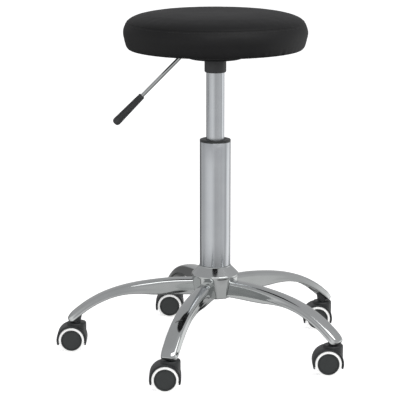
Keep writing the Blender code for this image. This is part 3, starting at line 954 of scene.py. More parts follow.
    def seam_path(self, pad: bpy.types.Object, height: float, count: int) -> list[tuple[Vector, Vector]]:
        """Follows the cushion's side at one height.

        Args:
            pad: the finished cushion.
            height: the height in mm.
            count: the number of points round the seat.

        Returns:
            A point on the surface and its outward normal for each step, in mm.
        """
        tree = BVHTree.FromObject(pad, bpy.context.evaluated_depsgraph_get())
        path = []
        for angle in angles(count):
            out = Vector((math.cos(angle), math.sin(angle), 0))
            start = out * 0.3 + Vector((0, 0, height * MM))
            point, normal, _, _ = tree.ray_cast(start, -out)
            path.append((point / MM, normal))
        return path

    def welt(self, pad: bpy.types.Object) -> bpy.types.Object:
        """Lays a thin folded welt into the seam between the top panel and the side band.

        Args:
            pad: the finished cushion.

        Returns:
            The welt.
        """
        path = self.seam_path(pad, self.seam_z, 360)
        sections = []
        for point, normal in [*path, path[0]]:
            centre = point + normal * (0.1 * self.welt_r)
            up = Vector((0, 0, 1)) - normal * normal.z
            up.normalize()
            sections.append(
                [centre + (normal * math.cos(a) + up * math.sin(a)) * self.welt_r for a in angles(10)]
            )
        piece = lofted("seat_seam_welt", sections, closed=False)
        return self.finishes.dress(piece, "black_faux_leather", "seat", angle=70.0)

    def stitching(self, pad: bpy.types.Object) -> bpy.types.Object:
        """Sews a row of stitches round the side band, just under the seam.

        Args:
            pad: the finished cushion.

        Returns:
            All the stitches as one piece.
        """
        path = self.seam_path(pad, self.seam_z - self.stitch_drop, 720)
        round_mm = sum((path[n][0] - path[n - 1][0]).length for n in range(len(path)))
        count = int(round_mm / self.stitch_pitch)
        stitches = []
        for n in range(count):
            at = n * len(path) // count
            point, normal = path[at]
            along = (path[(at + 1) % len(path)][0] - path[at - 1][0]).normalized()
            deselect()
            bpy.ops.mesh.primitive_uv_sphere_add(segments=6, ring_count=4, radius=self.stitch_r * MM)
            stitch = bpy.context.object
            side = normal.cross(along)
            turn = Matrix((along, side, normal)).transposed().to_4x4()
            stretch = Matrix.Diagonal((self.stitch_length / (2 * self.stitch_r), 1.0, 0.8, 1.0))
            centre = (point + normal * (0.3 * self.stitch_r)) * MM
            stitch.data.transform(Matrix.Translation(centre) @ turn @ stretch)
            stitches.append(stitch)
        row = joined(stitches, "seat_seam_stitches")
        return self.finishes.dress(row, "black_sewing_thread", "seat", angle=70.0)

    def underside(self) -> None:
        """Stretches the lining under the board and staples its rim."""
        low, high = (corner.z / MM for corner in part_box("dust_cover"))
        rim = self.lining_outer
        lining = turned(
            "seat_lining",
            [(self.lining_inner, low), (70, low + 0.1), (100, low + 0.15), (rim - 4, low), (rim - 0.8, low),
             (rim, low + 0.5), (rim, high), (self.lining_inner, high), (self.lining_inner, low)],
            144,
        )
        self.finishes.dress(lining, "spun_lining_cloth", "seat", "dust_cover")
        made = []
        shuffle = random.Random(7)
        for n in range(self.staples):
            angle = 2 * math.pi * (n + shuffle.uniform(-0.12, 0.12)) / self.staples
            deselect()
            bpy.ops.mesh.primitive_cube_add(size=1)
            staple = bpy.context.object
            staple.scale = (1.1 * MM, 9.5 * MM, 0.6 * MM)
            reach = (rim - 5.5) * MM
            staple.location = (reach * math.cos(angle), reach * math.sin(angle), (low - 0.1) * MM)
            staple.rotation_euler.z = angle + shuffle.uniform(-0.15, 0.15)
            settle(staple)
            ease_edges(staple, 0.25, segments=2)
            made.append(staple)
        self.finishes.dress(joined(made, "lining_staples"), "bright_zinc_plate", "seat")

    def build(self) -> None:
        """Makes the whole seat."""
        pad = self.cover()
        self.welt(pad)
        self.stitching(pad)
        self.underside()
        self.finishes.repaint("seat_board", "birch_plywood")


# ------------------------------------------------------------------ mechanism


@dataclass
class Mechanism:
    """Pressed seat plate with its screws, taper socket, and the release lever with a grip. Sizes in mm."""

    finishes: Finishes
    plate_t: float = 2.0
    plate_bore: float = 21.4
    screw_head_r: float = 4.6
    socket_inner: float = 17.9
    rod_r: float = 3.75
    drop_deg: float = 45.4
    bend_r: float = 14.0
    bend_x: float = -61.4
    grip_start: float = 112.6
    grip_length: float = 76.0
    grip_neck_r: float = 6.4
    grip_r: float = 8.0
    rib_pitch: float = 3.3
    rib_depth: float = 0.55

    def plate(self) -> None:
        """Presses the round dish that carries the seat and slots it for the lever."""
        low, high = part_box("seat_plate")
        r, z, top = high.y / MM, low.z / MM, high.z / MM
        t = self.plate_t
        dish = turned(
            "seat_plate_dish",
            [(self.plate_bore, z + 0.3), (self.plate_bore + 0.6, z), (r - 16, z), (r - 14, z + 0.7),
             (r - 10, z + 0.7), (r - 8, z), (r - 3.6, z), (r - 1.6, z + 0.6), (r - 0.4, z + 1.9),
             (r, z + 3.6), (r, top - 0.4), (r - 0.4, top), (r - t, top), (r - t, z + 3.9),
             (r - t - 1.2, z + 2.6), (r - 4.0, z + t), (r - 8, z + t), (r - 10, z + t + 0.7),
             (r - 14, z + t + 0.7), (r - 16, z + t), (self.plate_bore, z + t), (self.plate_bore, z + 0.3)],
            120,
        )
        deselect()
        middle = (z + t + 0.1) * MM / 2 + top * MM / 2 + 0.002
        bpy.ops.mesh.primitive_cube_add(size=1, location=(-r * MM, 0, middle))
        slot = named("slot")
        slot.scale = (16 * MM, (2 * self.rod_r + 2.2) * MM, (top - z - t) * MM + 0.004)
        settle(slot)
        cut(dish, slot)
        ease_edges(dish, 0.35, angle=50.0, segments=2)
        self.finishes.dress(dish, "satin_black_enamel", "seat", "seat_plate")

    def screws(self) -> None:
        """Drives four low-headed screws with hexagon sockets through the plate."""
        for n in range(1, 5):
            low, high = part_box(f"plate_screw_{n}")
            centre = (low + high) / 2
            z, top, r = low.z / MM, high.z / MM, self.screw_head_r
            screw = turned(
                f"plate_screw_{n}_pan_head",
                [(0, z + 1.3), (2.2, z + 1.3), (r - 1.9, z + 1.4), (r - 0.6, z + 1.8), (r, z + 2.4),
                 (r, z + 2.5), (2.4, z + 2.5), (2.4, top - 0.5), (1.6, top), (0, top)],
                36,
            )
            deselect()
            bpy.ops.mesh.primitive_cylinder_add(
                vertices=6, radius=1.9 * MM, depth=3.2 * MM, location=(0, 0, (z + 0.8) * MM)
            )
            cut(screw, named("hexagon"))
            screw.data.transform(Matrix.Translation((centre.x, centre.y, 0)))
            self.finishes.dress(screw, "satin_black_enamel", "seat", f"plate_screw_{n}")

    def socket(self) -> None:
        """Turns the tapered socket that grips the cylinder."""
        r, z, top = extent("taper_socket")
        bore = self.socket_inner
        collar = turned(
            "seat_taper_socket",
            [(bore, z + 0.6), (bore + 0.5, z), (r - 2.6, z), (r - 1.1, z + 0.5), (r - 0.25, z + 1.6),
             (r, z + 3.2), (r, top - 1), (r - 0.6, top), (bore, top), (bore, z + 0.6)],
            96,
        )
        self.finishes.dress(collar, "black_vinyl_grip", "seat", "taper_socket")

    def pivot_z(self) -> float:
        """Gives the height of the lever's pin in mm."""
        low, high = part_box("lever_pin")
        return (low.z + high.z) / 2 / MM

    def direction(self) -> Vector:
        """Gives the direction in which the lever slopes down from the seat."""
        drop = math.radians(self.drop_deg)
        return Vector((-math.cos(drop), 0, -math.sin(drop)))

    def lever(self) -> None:
        """Bends the chromed lever rod."""
        z = self.pivot_z()
        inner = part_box("release_lever")[1].x / MM
        drop = math.radians(self.drop_deg)
        start = self.bend_x + self.bend_r * math.tan(drop / 2)
        path = [(Vector((x, 0, z)), 0.0) for x in (inner, inner - 0.6, -25.0)]
        for n in range(13):
            a = drop * n / 12
            x = start - self.bend_r * math.sin(a)
            path.append((Vector((x, 0, z - self.bend_r * (1 - math.cos(a)))), a))
        corner = Vector((self.bend_x, 0, z))
        for along in (40.0, 80.0, self.grip_start + 4.0, self.grip_start + self.grip_length - 10.0):
            path.append((corner + self.direction() * along, drop))
        sections = []
        for n, (point, a) in enumerate(path):
            radius = self.rod_r - (0.6 if n == 0 else 0.0)
            up = Vector((-math.sin(a), 0, math.cos(a)))
            side = Vector((0, 1, 0))
            sections.append([point + (up * math.cos(t) + side * math.sin(t)) * radius for t in angles(32)])
        rod = lofted("release_lever_rod", sections)
        self.finishes.dress(rod, "polished_chrome_plate", "lever", "release_lever")

    def grip(self) -> None:
        """Turns the soft grip with its rings of ribs and slides it on the lever."""
        neck, r, length = self.grip_neck_r, self.grip_r, self.grip_length
        steps = [(self.rod_r + 0.1, 0.0), (neck - 1.4, 0.0), (neck - 0.4, 0.5), (neck, 1.6), (neck, 4.4)]
        z = 4.6
        while z < length - 13:
            full = neck + (r - neck) * min(1.0, (z + 2) / (0.8 * length))
            deep = full - self.rib_depth
            steps += [(deep, z + 0.45), (deep, z + 1.15), (full, z + 1.6), (full, z + self.rib_pitch)]
            z += self.rib_pitch
        steps += [(r, length - 6.6), (r - 0.3, length - 4.4), (r - 1.1, length - 2.5)]
        steps += [(r - 2.4, length - 1.0), (r - 3.9, length - 0.2), (r - 5.2, length), (0, length)]
        sleeve = turned("lever_grip_sleeve", [(0, 0.6), (self.rod_r + 0.1, 0.6), *steps], 56)
        z = self.pivot_z()
        start = Vector((self.bend_x, 0, z)) + self.direction() * self.grip_start
        turn = self.direction().to_track_quat("Z", "Y").to_matrix().to_4x4()
        sleeve.data.transform(Matrix.Translation(start * MM) @ turn)
        self.finishes.dress(sleeve, "black_vinyl_grip", "lever", "lever_grip")

    def build(self) -> None:
        """Makes the plate, the screws, the socket and the lever."""
        self.plate()
        self.screws()
        self.socket()
        self.lever()
        self.grip()
        for node in ("lever_pin", "release_button"):
            self.finishes.repaint(node, "bright_zinc_plate")


# ------------------------------------------------------------------- gas lift


@dataclass
class GasLift:
    """Outer column with its bush and the gas cylinder that slides in it. Sizes in mm."""

    finishes: Finishes
    wall: float = 2.5
    cylinder_wall: float = 2.5
    rod_gap_r: float = 5.25

    def column(self) -> None:
        """Turns the chromed outer column with rolled ends."""
        r, z, top = extent("outer_column")
        inner = r - self.wall
        tube = turned(
            "chromed_outer_column",
            [(5.3, z), (r - 4.6, z), (r - 3.4, z + 0.8), (r - 3, z + 2), (r - 1, 174.6), (r - 0.35, 174.9),
             (r, 175.6), (r, 230), (r, 290), (r, 350), (r, top - 0.7), (r - 0.25, top - 0.15), (r - 0.8, top),
             (inner, top), (inner, 185), (r - 5.5, 174), (r - 6.5, z + 6), (5.3, z + 6), (5.3, z)],
            144,
        )
        self.finishes.dress(tube, "ground_chromed_steel", "base", "outer_column")

    def bush(self) -> None:
        """Moulds the guide bush that rims the top of the column."""
        r, z, top = extent("column_bush")
        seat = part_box("outer_column")[1].z / MM + 0.3
        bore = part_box("gas_cylinder")[1].x / MM + 0.35
        sleeve = r - self.wall - 0.3
        guide = turned(
            "moulded_column_bush",
            [(bore, z), (sleeve, z), (sleeve, seat), (r - 0.3, seat), (r, seat + 0.4), (r, top - 1.2),
             (r - 0.3, top - 0.45), (r - 1.0, top), (r - 7.6, top), (r - 8.2, top - 0.5),
             (bore + 1.0, top - 0.5), (bore + 0.25, top - 0.9), (bore, top - 1.6), (bore, z)],
            144,
        )
        self.finishes.dress(guide, "textured_black_nylon", "base", "column_bush")

    def cylinder(self) -> None:
        """Turns the hard-chromed gas cylinder with its tapered head."""
        r, z, top = extent("gas_cylinder")
        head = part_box("taper_socket")[0].z / MM + 1
        tube = turned(
            "chromed_gas_cylinder",
            [(5.3, z), (r - 1, z), (r - 0.3, z + 0.3), (r, z + 1), (r, 340), (r, 420), (r, 480), (r, head),
             (15.4, top - 0.6), (14.8, top), (4.5, top), (4.5, 558), (0, 558)],
            120,
        )
        inner, rod = r - self.cylinder_wall, self.rod_gap_r
        hollow = [(0, 542), (inner, 542), (inner, z + 10), (rod, z + 10), (rod, z - 2), (0, z - 2)]
        bore = turned("cylinder_bore", hollow)
        make_active(tube)
        bpy.ops.object.mode_set(mode="EDIT")
        select_near(tube, lambda p: p.z < (z + 0.01) * MM)
        bpy.ops.mesh.edge_face_add()
        bpy.ops.object.mode_set(mode="OBJECT")
        outward(tube)
        cut(tube, bore)
        self.finishes.dress(tube, "ground_chromed_steel", "seat", "gas_cylinder")

    def build(self) -> None:
        """Makes the column, the bush and the cylinder."""
        self.column()
        self.bush()
        self.cylinder()
        for node in ("piston_rod", "thrust_bearing", "retaining_clip"):
            self.finishes.repaint(node, "bright_zinc_plate")


# ----------------------------------------------------------------------- base


@dataclass
class Base:
    """Chromed hub and five arched arms, pressed as channels. Sizes in mm, angles in degrees."""

    finishes: Finishes
    headings: tuple[float, ...] = (180.0, 252.0, 324.0, 36.0, 108.0)
    stations: Sequence[tuple[float, ...]] = (
        (44.0, 147.4, 39.2, 117.0, 15.2, 10.0),
        (72.0, 147.0, 72.0, 117.0, 15.6, 10.2),
        (95.0, 145.8, 97.0, 116.6, 16.0, 10.3),
        (120.0, 143.0, 121.0, 116.8, 16.4, 10.4),
        (150.0, 138.6, 147.0, 118.2, 16.8, 10.5),
        (180.0, 132.0, 175.0, 116.6, 17.0, 10.5),
        (207.0, 123.3, 200.5, 110.4, 17.0, 10.5),
        (231.0, 112.7, 223.5, 100.6, 17.0, 10.5),
        (253.3, 99.6, 244.5, 88.6, 17.0, 10.5),
        (270.0, 87.2, 260.0, 77.2, 17.0, 10.5),
        (280.5, 78.4, 270.3, 69.0, 17.0, 10.2),
        (286.6, 71.4, 277.3, 63.5, 16.2, 9.4),
        (289.2, 66.6, 282.2, 60.9, 13.4, 7.4),
        (288.8, 64.6, 286.2, 61.0, 8.4, 4.6),
    )
    crown: Sequence[tuple[float, float, float]] = (
        (9.0, 1.0, 0.66),
        (6.4, 1.0, 0.57),
        (5.2, 1.0, 0.50),
        (4.1, 1.0, 0.40),
        (3.0, 1.0, 0.24),
        (1.95, 0.98, 0.0),
        (1.1, 0.77, 0.0),
        (0.6, 0.58, 0.0),
        (0.26, 0.38, 0.0),
        (0.05, 0.16, 0.0),
    )
    sleeve_rings: Sequence[tuple[float, float, float]] = (
        (60.7, 0.0, 5.7),
        (60.5, 0.0, 6.4),
        (60.5, 0.0, 8.5),
        (61.2, 0.0, 9.2),
        (66.0, 0.5, 9.3),
        (72.0, 2.0, 9.0),
        (80.0, 6.0, 7.0),
    )
    crown_rise: float = 1.4
    hub_turn: float = 36.0
    channel_wall: float = 2.2
    channel_end: float = 255.0
    between: int = 5

    def section(self, row: Sequence[float]) -> list[Vector]:
        """Draws one section of an arm that points to +X: flat crown, round shoulders, flared sides.

        Args:
            row: top radius and height, sole radius and height, half width of the sole and of the crown.

        Returns:
            The closed section.
        """
        top_r, top_z, low_r, low_z, sole, crown = row
        rise = Vector((top_r - low_r, 0, top_z - low_z))
        flare = sole - crown
        tall = max(rise.length, 25.0)
        half = [
            (0.0, sole - 1.9),
            (0.4 / tall, sole - 0.7),
            (1.6 / tall, sole),
            (0.16, sole - 0.1),
            (0.30, crown + 0.92 * flare),
            (0.45, crown + 0.80 * flare),
            *(
                (1 + (self.crown_rise - depth) / tall, share * crown + more * flare)
                for depth, share, more in self.crown
            ),
        ]
        deep = min(1.0, max(0.0, (self.channel_end - low_r) / 12.0))
        wall = self.channel_wall
        share = wall / max(rise.length, 1.0)
        inner = [
            (0.0, sole - wall),
            (deep * 0.45, crown + 0.80 * flare - wall),
            (deep * (0.94 - share), crown - wall),
            (deep * (1.0 - share), 0.0),
        ]
        outer = np.array([*half, *[(u, -s) for u, s in reversed(half)]])
        keep = corner_cut(outer, 2)[:-4]
        floor = [(u, -s) for u, s in inner[:-1]] + [inner[-1]] + [(u, s) for u, s in reversed(inner[:-1])]
        if keep[0, 1] < 0:
            floor = [(u, -s) for u, s in floor]
        ring = [*map(tuple, keep), *floor]
        return [Vector((low_r, 0, low_z)) + rise * up + Vector((0, side, 0)) for up, side in ring]

    def arms(self) -> None:
        """Presses one arm and turns its copies round the hub."""
        rows = curve_through(self.stations, self.between)
        arm = lofted("arm_pattern", [self.section(row) for row in rows])
        for n, heading in enumerate(self.headings, 1):
            turn = Matrix.Rotation(math.radians(heading), 4, "Z")
            made = copied(arm, f"chromed_arm_{n}", turn)
            self.finishes.dress(made, "polished_chrome_plate", "base", f"base_arm_{n}", angle=42.0)
        bpy.data.objects.remove(arm)

    def sleeves(self) -> None:
        """Moulds the sleeve under an arm's tip that takes the caster's stem, and copies it round the hub."""
        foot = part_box("caster_4_stem")
        centre = (foot[0] + foot[1]) / 2 / MM
        reach = math.hypot(centre.x, centre.y)
        sections = [
            [Vector((reach - lean + r * math.cos(a), r * math.sin(a), z)) for a in angles(48)]
            for z, lean, r in self.sleeve_rings
        ]
        socket = lofted("socket_pattern", sections)
        for n, heading in enumerate(self.headings, 1):
            made = copied(socket, f"nylon_stem_sleeve_{n}", Matrix.Rotation(math.radians(heading), 4, "Z"))
            self.finishes.dress(made, "textured_black_nylon", "base")
        bpy.data.objects.remove(socket)

    def hub_ring(self, z: float, apothem: float, corner: float, round_r: float, share: float) -> list[Vector]:
        """Draws one ring of the hub.

        Args:
            z: the height.
            apothem: the distance from the axis to the flats that face the arms.
            corner: the half angle of those flats.
            round_r: the radius of the ring where it is round.
            share: 0 for ten flats, 1 for a circle.

        Returns:
            The ring.
        """
        half = math.radians(corner)
        corner_r = apothem / math.cos(half)
        panel = math.radians(36) - half
        panel_apothem = corner_r * math.cos(panel)
        radii = []
        for k in range(180):
            local = math.radians(k * 2 % 72)
            local = local - math.radians(72) if local > math.radians(36) else local
            size = abs(local)
            panel = panel_apothem / math.cos(size - math.radians(36))
            radii.append(apothem / math.cos(size) if size < half else panel)
        radii = np.array(radii)
        radii = 0.5 * radii + 0.25 * np.roll(radii, 1) + 0.25 * np.roll(radii, -1)
        radii = (1 - share) * radii + share * round_r
        turns = [math.radians(2 * k) for k in range(len(radii))]
        return [Vector((r * math.cos(a), r * math.sin(a), z)) for a, r in zip(turns, radii)]

    def hub(self) -> None:
        """Casts the ten-sided hub with its rounded rim and coned top."""
        _, z, top = extent("base_hub")
        foot = (z, 36.2, 22.4, 0, 0)
        sides = [(0.5, 37.4, 22.4), (1.8, 38.4, 22.2), (14, 40.4, 20.6), (27, 42.5, 18.9), (38.4, 44.3, 17.3)]
        brow = [(39.6, 44.5, 45.4, 0.12), (40.8, 44.6, 45.7, 0.6)]
        rim = [(41.8, 45.85), (43.2, 45.9), (43.98, 45.8), (44.7, 45.5), (45.3, 45.05), (45.61, 44.75)]
        cone = [(50.47, 40.0), (55.08, 35.5), (59.08, 31.6), (59.39, 31.3), (59.6, 31.0)]
        bore = [(top - 0.2, 31.0), (top, 30.4), (top, 29.4), (z + 30, 28.4), (z, 27.45)]
        rings = [foot, *((z + up, apothem, corner, 0, 0) for up, apothem, corner in sides)]
        rings += [(z + up, apothem, 17.2, r, share) for up, apothem, r, share in brow]
        rings += [(z + up, 44.0, 17.2, r, 1) for up, r in rim + cone]
        rings += [*((height, 44.0, 17.2, r, 1) for height, r in bore), foot]
        sections = [self.hub_ring(*ring) for ring in rings]
        hub = lofted("chromed_hub", sections, closed=False)
        hub.data.transform(Matrix.Rotation(math.radians(self.hub_turn), 4, "Z"))
        self.finishes.dress(hub, "polished_chrome_plate", "base", "base_hub", angle=30.0)

    def build(self) -> None:
        """Makes the hub, the arms and the sleeves for the casters' stems."""
        self.hub()
        self.arms()
        self.sleeves()


# -------------------------------------------------------------------- casters


@dataclass
class Casters:
    """Five equal twin-wheel casters with pale treads. Sizes in mm, from the swivel axis at the floor."""

    finishes: Finishes
    wheel_r: float = 25.2
    trail: float = 9.0
    hood_r: float = 29.5
    arch_r: float = 26.5
    hood_half: float = 21.4
    core_half: float = 7.7
    hood_low: float = 16.1
    post_r: float = 19.0
    post_x: float = 0.5
    post_top: float = 58.6
    cap_r: float = 20.35
    tread_in: float = 20.65
    wheel_in: float = 8.0
    wheel_out: float = 22.0

    def hood(self) -> bpy.types.Object:
        """Moulds the hood: an arch over both wheels, a web between them and the round post.

        Returns:
            The hood of a caster at the origin.
        """
        centre = Vector((-self.trail, 0, self.wheel_r))
        r, half = self.hood_r, self.hood_half
        shell = turned(
            "caster_hood_pattern",
            [(0, -half), (r - 1.3, -half), (r - 0.35, -half + 0.45), (r, -half + 1.5), (r + 0.15, -8),
             (r + 0.15, 8), (r, half - 1.5), (r - 0.35, half - 0.45), (r - 1.3, half), (0, half)],
            128,
        )
        shell.data.transform(Matrix.Translation(centre * MM) @ Matrix.Rotation(math.pi / 2, 4, "X"))
        r, top = self.post_r, self.post_top
        post = turned(
            "post",
            [(0, 27), (r, 27), (r, top - 3.2), (r - 0.35, top - 1.5), (r - 1.2, top - 0.45), (r - 2.6, top),
             (0, top)],
            96,
        )
        post.data.transform(Matrix.Translation((self.post_x * MM, 0, 0)))
        cut(shell, post, "UNION")
        for side in (-1, 1):
            deselect()
            deep = self.hood_half + 6 - self.core_half
            bpy.ops.mesh.primitive_cylinder_add(
                vertices=120,
                radius=self.arch_r * MM,
                depth=deep * MM,
                location=(centre.x * MM, side * (self.core_half + deep / 2) * MM, centre.z * MM),
                rotation=(math.pi / 2, 0, 0),
            )
            arch = named("arch")
            settle(arch)
            cut(shell, arch)
        deselect()
        bpy.ops.mesh.primitive_cube_add(size=1, location=(centre.x * MM, 0, (self.hood_low - 20) * MM))
        below = named("below")
        below.scale = (90 * MM, 60 * MM, 40 * MM)
        settle(below)
        cut(shell, below)
        ease_edges(shell, 0.45, angle=38.0, segments=2)
        return shell

    def wheel(self) -> bpy.types.Object:
        """Moulds a wheel with its plain cap: a shallow dish inside a raised rim.

        Returns:
            The wheel of the +Y side of a caster at the origin.
        """
        r, out = self.cap_r, self.wheel_out
        wheel = turned(
            "caster_wheel_pattern",
            [(0, out - 0.75), (8, out - 0.8), (15.6, out - 0.9), (16.9, out - 1.0), (17.3, out - 1.35),
             (17.8, out - 1.35), (18.1, out - 0.5), (18.5, out - 0.12), (19.3, out), (19.9, out - 0.15),
             (20.25, out - 0.6), (r, out - 1.2), (r, self.wheel_in), (3.4, self.wheel_in), (3.4, out - 1.8),
             (0, out - 1.8)],
            120,
        )
        return self.on_axle(wheel)

    def tread(self) -> bpy.types.Object:
        """Moulds the soft tread ring with its rounded shoulders.

        Returns:
            The tread of the +Y side of a caster at the origin.
        """
        r, near, far = self.wheel_r, self.wheel_in, self.wheel_out - 0.4
        ring = turned(
            "caster_tread_pattern",
            [(self.tread_in, near), (r - 1.3, near), (r - 0.45, near + 0.4), (r, near + 1.4), (r, far - 2.2),
             (r - 0.25, far - 1.1), (r - 0.95, far - 0.35), (r - 2.0, far), (self.tread_in + 0.4, far),
             (self.tread_in, far - 0.4), (self.tread_in, near)],
            120,
        )
        return self.on_axle(ring)

    def on_axle(self, piece: bpy.types.Object) -> bpy.types.Object:
        """Turns a piece from +Z to +Y and sets it on the axle."""
        place = Matrix.Translation((-self.trail * MM, 0, self.wheel_r * MM))
        piece.data.transform(place @ Matrix.Rotation(-math.pi / 2, 4, "X"))
        return piece

    def stem(self) -> bpy.types.Object:
        """Turns the steel stem with its flange.

        Returns:
            The stem of a caster at the origin.
        """
        top = self.post_top
        return turned(
            "caster_stem_pattern",
            [(0, 38), (4.6, 38), (5, 38.5), (5, top + 0.4), (7.6, top + 0.4), (8, top + 0.7), (8, top + 1.3),
             (7.6, top + 1.6), (5.5, top + 1.6), (5.5, 73), (4.5, 74), (0, 74)],
            40,
        )

    def build(self) -> None:
        """Models one caster and sets its copies under the five arms."""
        patterns = {"stem": self.stem(), "hood": self.hood(), "wheel": self.wheel(), "tread": self.tread()}
        axle_y = Matrix.Translation((-self.trail * MM, 0, 0)) @ Matrix.Rotation(math.pi, 4, "Z")
        axle_y = axle_y @ Matrix.Translation((self.trail * MM, 0, 0))
        for n in range(1, CASTERS + 1):
            low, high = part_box(f"caster_{n}_stem")
            foot = Matrix.Translation(((low.x + high.x) / 2, (low.y + high.y) / 2, 0))
            stem = copied(patterns["stem"], f"caster_{n}_steel_stem", foot)
            self.finishes.dress(stem, "bright_zinc_plate", "base", f"caster_{n}_stem")
            hood = copied(patterns["hood"], f"caster_{n}_nylon_hood", foot)
            self.finishes.dress(hood, "textured_black_nylon", f"caster_{n}", f"caster_{n}_hood", angle=38.0)
            for side, turn in (("l", Matrix.Identity(4)), ("r", axle_y)):
                body = f"caster_{n}_pair_{side}"
                wheel = copied(patterns["wheel"], f"caster_{n}_nylon_wheel_{side}", foot @ turn)
                self.finishes.dress(wheel, "satin_black_nylon", body, f"caster_{n}_wheel_{side}")
                tread = copied(patterns["tread"], f"caster_{n}_soft_tread_{side}", foot @ turn)
                self.finishes.dress(tread, "pale_polyurethane", body, f"caster_{n}_tread_{side}")
            self.finishes.repaint(f"caster_{n}_axle", "bright_zinc_plate")
        for pattern in patterns.values():
            bpy.data.objects.remove(pattern)


# --------------------------------------------------------------------- studio


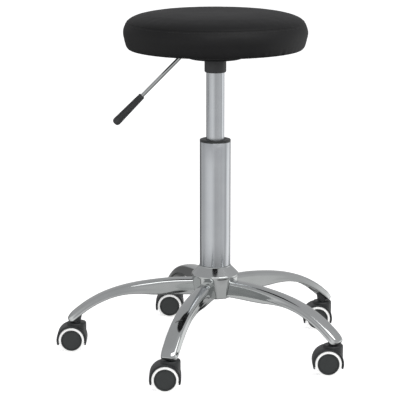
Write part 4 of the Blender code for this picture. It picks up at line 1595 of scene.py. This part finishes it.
@dataclass
class Studio:
    """Plain pale floor, a white cyclorama, a soft surround, two softboxes and the camera. Sizes in metres."""

    floor_size: float = 80.0
    floor_glow: float = 0.62
    wall_r: float = 38.0
    lens: float = 164.28
    camera_place: tuple[float, float, float] = (-0.02945, -3.472845, 1.025857)
    camera_tilt: float = 78.24
    surround: Sequence[tuple[float, float]] = (
        (0.0, 0.64), (0.016, 0.70), (0.036, 0.83), (0.056, 0.91), (0.097, 1.02), (0.139, 0.95), (0.185, 0.86),
        (0.21, 0.77), (0.236, 0.68), (0.264, 0.60), (0.345, 0.58), (0.37, 0.17), (0.42, 0.15), (0.46, 0.38),
        (0.50, 0.52), (0.556, 0.45), (0.60, 0.48), (0.653, 1.12), (0.69, 1.30), (0.724, 1.15), (0.748, 0.78),
        (0.775, 0.55), (0.80, 0.74), (0.83, 0.76), (0.87, 0.67), (0.91, 0.69), (0.94, 0.65), (1.0, 0.63),
    )

    def surroundings(self) -> None:
        """Lights the stool from all round: pale panels at eye level, a greyer ceiling."""
        world = bpy.data.worlds.new("studio")
        bpy.context.scene.world = world
        world.use_nodes = True
        tree = world.node_tree
        where = add_node(tree, "ShaderNodeTexCoord").outputs["Generated"]
        parts = add_node(tree, "ShaderNodeSeparateXYZ", None, {"Vector": where})
        heading = add_node(
            tree, "ShaderNodeMath", {"operation": "ARCTAN2"}, {0: parts.outputs["X"], 1: parts.outputs["Y"]}
        ).outputs["Value"]
        turn = add_node(
            tree,
            "ShaderNodeMapRange",
            None,
            {"Value": heading, "From Min": -math.pi, "From Max": math.pi},
        ).outputs["Result"]
        panels = ramp(tree, turn, [(f, (v, v, v, 1.0)) for f, v in self.surround])
        above = ((0.0, 0.55), (0.25, 0.50), (0.5, 0.50), (0.75, 0.60), (1.0, 0.55))
        ceiling = ramp(tree, turn, [(f, (v, v, v + 0.01, 1)) for f, v in above])
        lift = add_node(
            tree,
            "ShaderNodeMapRange",
            {"interpolation_type": "SMOOTHSTEP"},
            {"Value": parts.outputs["Z"], "From Min": 0.0, "From Max": 0.22},
        ).outputs["Result"]
        blend = add_node(
            tree, "ShaderNodeMixRGB", None, {"Fac": lift, "Color1": panels, "Color2": ceiling}
        ).outputs["Color"]
        depth = add_node(
            tree,
            "ShaderNodeMapRange",
            {"interpolation_type": "SMOOTHSTEP"},
            {"Value": parts.outputs["Z"], "From Min": -0.85, "From Max": -0.35, "To Min": 1.0, "To Max": 0.0},
        ).outputs["Result"]
        shaded = add_node(
            tree, "ShaderNodeMixRGB", None, {"Fac": depth, "Color1": blend, "Color2": (0.13, 0.13, 0.13, 1.0)}
        ).outputs["Color"]
        tree.links.new(shaded, tree.nodes["Background"].inputs["Color"])

    def softbox(self, name: str, place: Vector, size: tuple[float, float], brightness: float) -> None:
        """Hangs a softbox that faces the stool.

        Args:
            name: the name of the light.
            place: its centre.
            size: its width and height in metres.
            brightness: its radiance.
        """
        light = bpy.data.lights.new(name, "AREA")
        light.shape = "RECTANGLE"
        light.size, light.size_y = size
        light.energy = brightness * math.pi * size[0] * size[1]
        holder = bpy.data.objects.new(name, light)
        holder.location = place
        holder.rotation_euler = (Vector((0, 0, 0.3)) - place).to_track_quat("-Z", "Y").to_euler()
        holder.visible_camera = False
        bpy.context.scene.collection.objects.link(holder)

    def painted(self, piece: bpy.types.Object, name: str, glow: float) -> bpy.types.Node:
        """Gives a piece of the stage a white material that glows faintly.

        Args:
            piece: the floor or the cyclorama.
            name: the material's name.
            glow: the strength of its own light.

        Returns:
            The material's shader.
        """
        material = bpy.data.materials.new(name)
        material.use_nodes = True
        shader = material.node_tree.nodes["Principled BSDF"]
        shader.inputs["Base Color"].default_value = linear("F4F4F4")
        shader.inputs["Emission Color"].default_value = (1, 1, 1, 1)
        shader.inputs["Emission Strength"].default_value = glow
        piece.data.materials.append(material)
        return shader

    def floor(self) -> None:
        """Lays the plain pale floor."""
        deselect()
        bpy.ops.mesh.primitive_plane_add(size=self.floor_size)
        floor = named("floor")
        shader = self.painted(floor, "pale_studio_floor", self.floor_glow)
        shader.inputs["Roughness"].default_value = 0.9
        shader.inputs["Specular IOR Level"].default_value = 0.0
        floor.visible_glossy = False

    def backdrop(self) -> None:
        """Closes the studio with a round white cyclorama behind the floor's edge."""
        deselect()
        bpy.ops.mesh.primitive_cylinder_add(
            vertices=96, radius=self.wall_r, depth=self.floor_size, end_fill_type="NOTHING"
        )
        wall = named("cyclorama")
        self.painted(wall, "white_cyclorama", 1.0)
        wall.visible_diffuse = False
        wall.visible_glossy = False
        wall.visible_shadow = False

    def camera(self) -> None:
        """Sets up the camera in front of the stool, above the seat's height."""
        data = bpy.data.cameras.new("camera")
        data.lens = self.lens
        data.sensor_width = 36.0
        holder = bpy.data.objects.new("camera", data)
        holder.location = self.camera_place
        holder.rotation_euler = (math.radians(self.camera_tilt), 0, 0)
        bpy.context.scene.collection.objects.link(holder)
        bpy.context.scene.camera = holder

    def build(self) -> None:
        """Sets up the studio."""
        bpy.context.scene.view_settings.view_transform = "Standard"
        self.surroundings()
        self.softbox("softbox_front", Vector((0.25, -2.14, 2.48)), (2.2, 1.2), 2.3)
        self.softbox("softbox_right", Vector((1.66, -1.25, 2.45)), (1.9, 1.45), 2.3)
        self.floor()
        self.backdrop()
        self.camera()


def main() -> None:
    """Builds the stool and its studio."""
    logging.basicConfig(level=logging.INFO, format="%(name)s: %(message)s")
    finishes = Finishes()
    Base(finishes).build()
    GasLift(finishes).build()
    Casters(finishes).build()
    Mechanism(finishes).build()
    Seat(finishes).build()
    Studio().build()


if __name__ == "__main__":
    main()
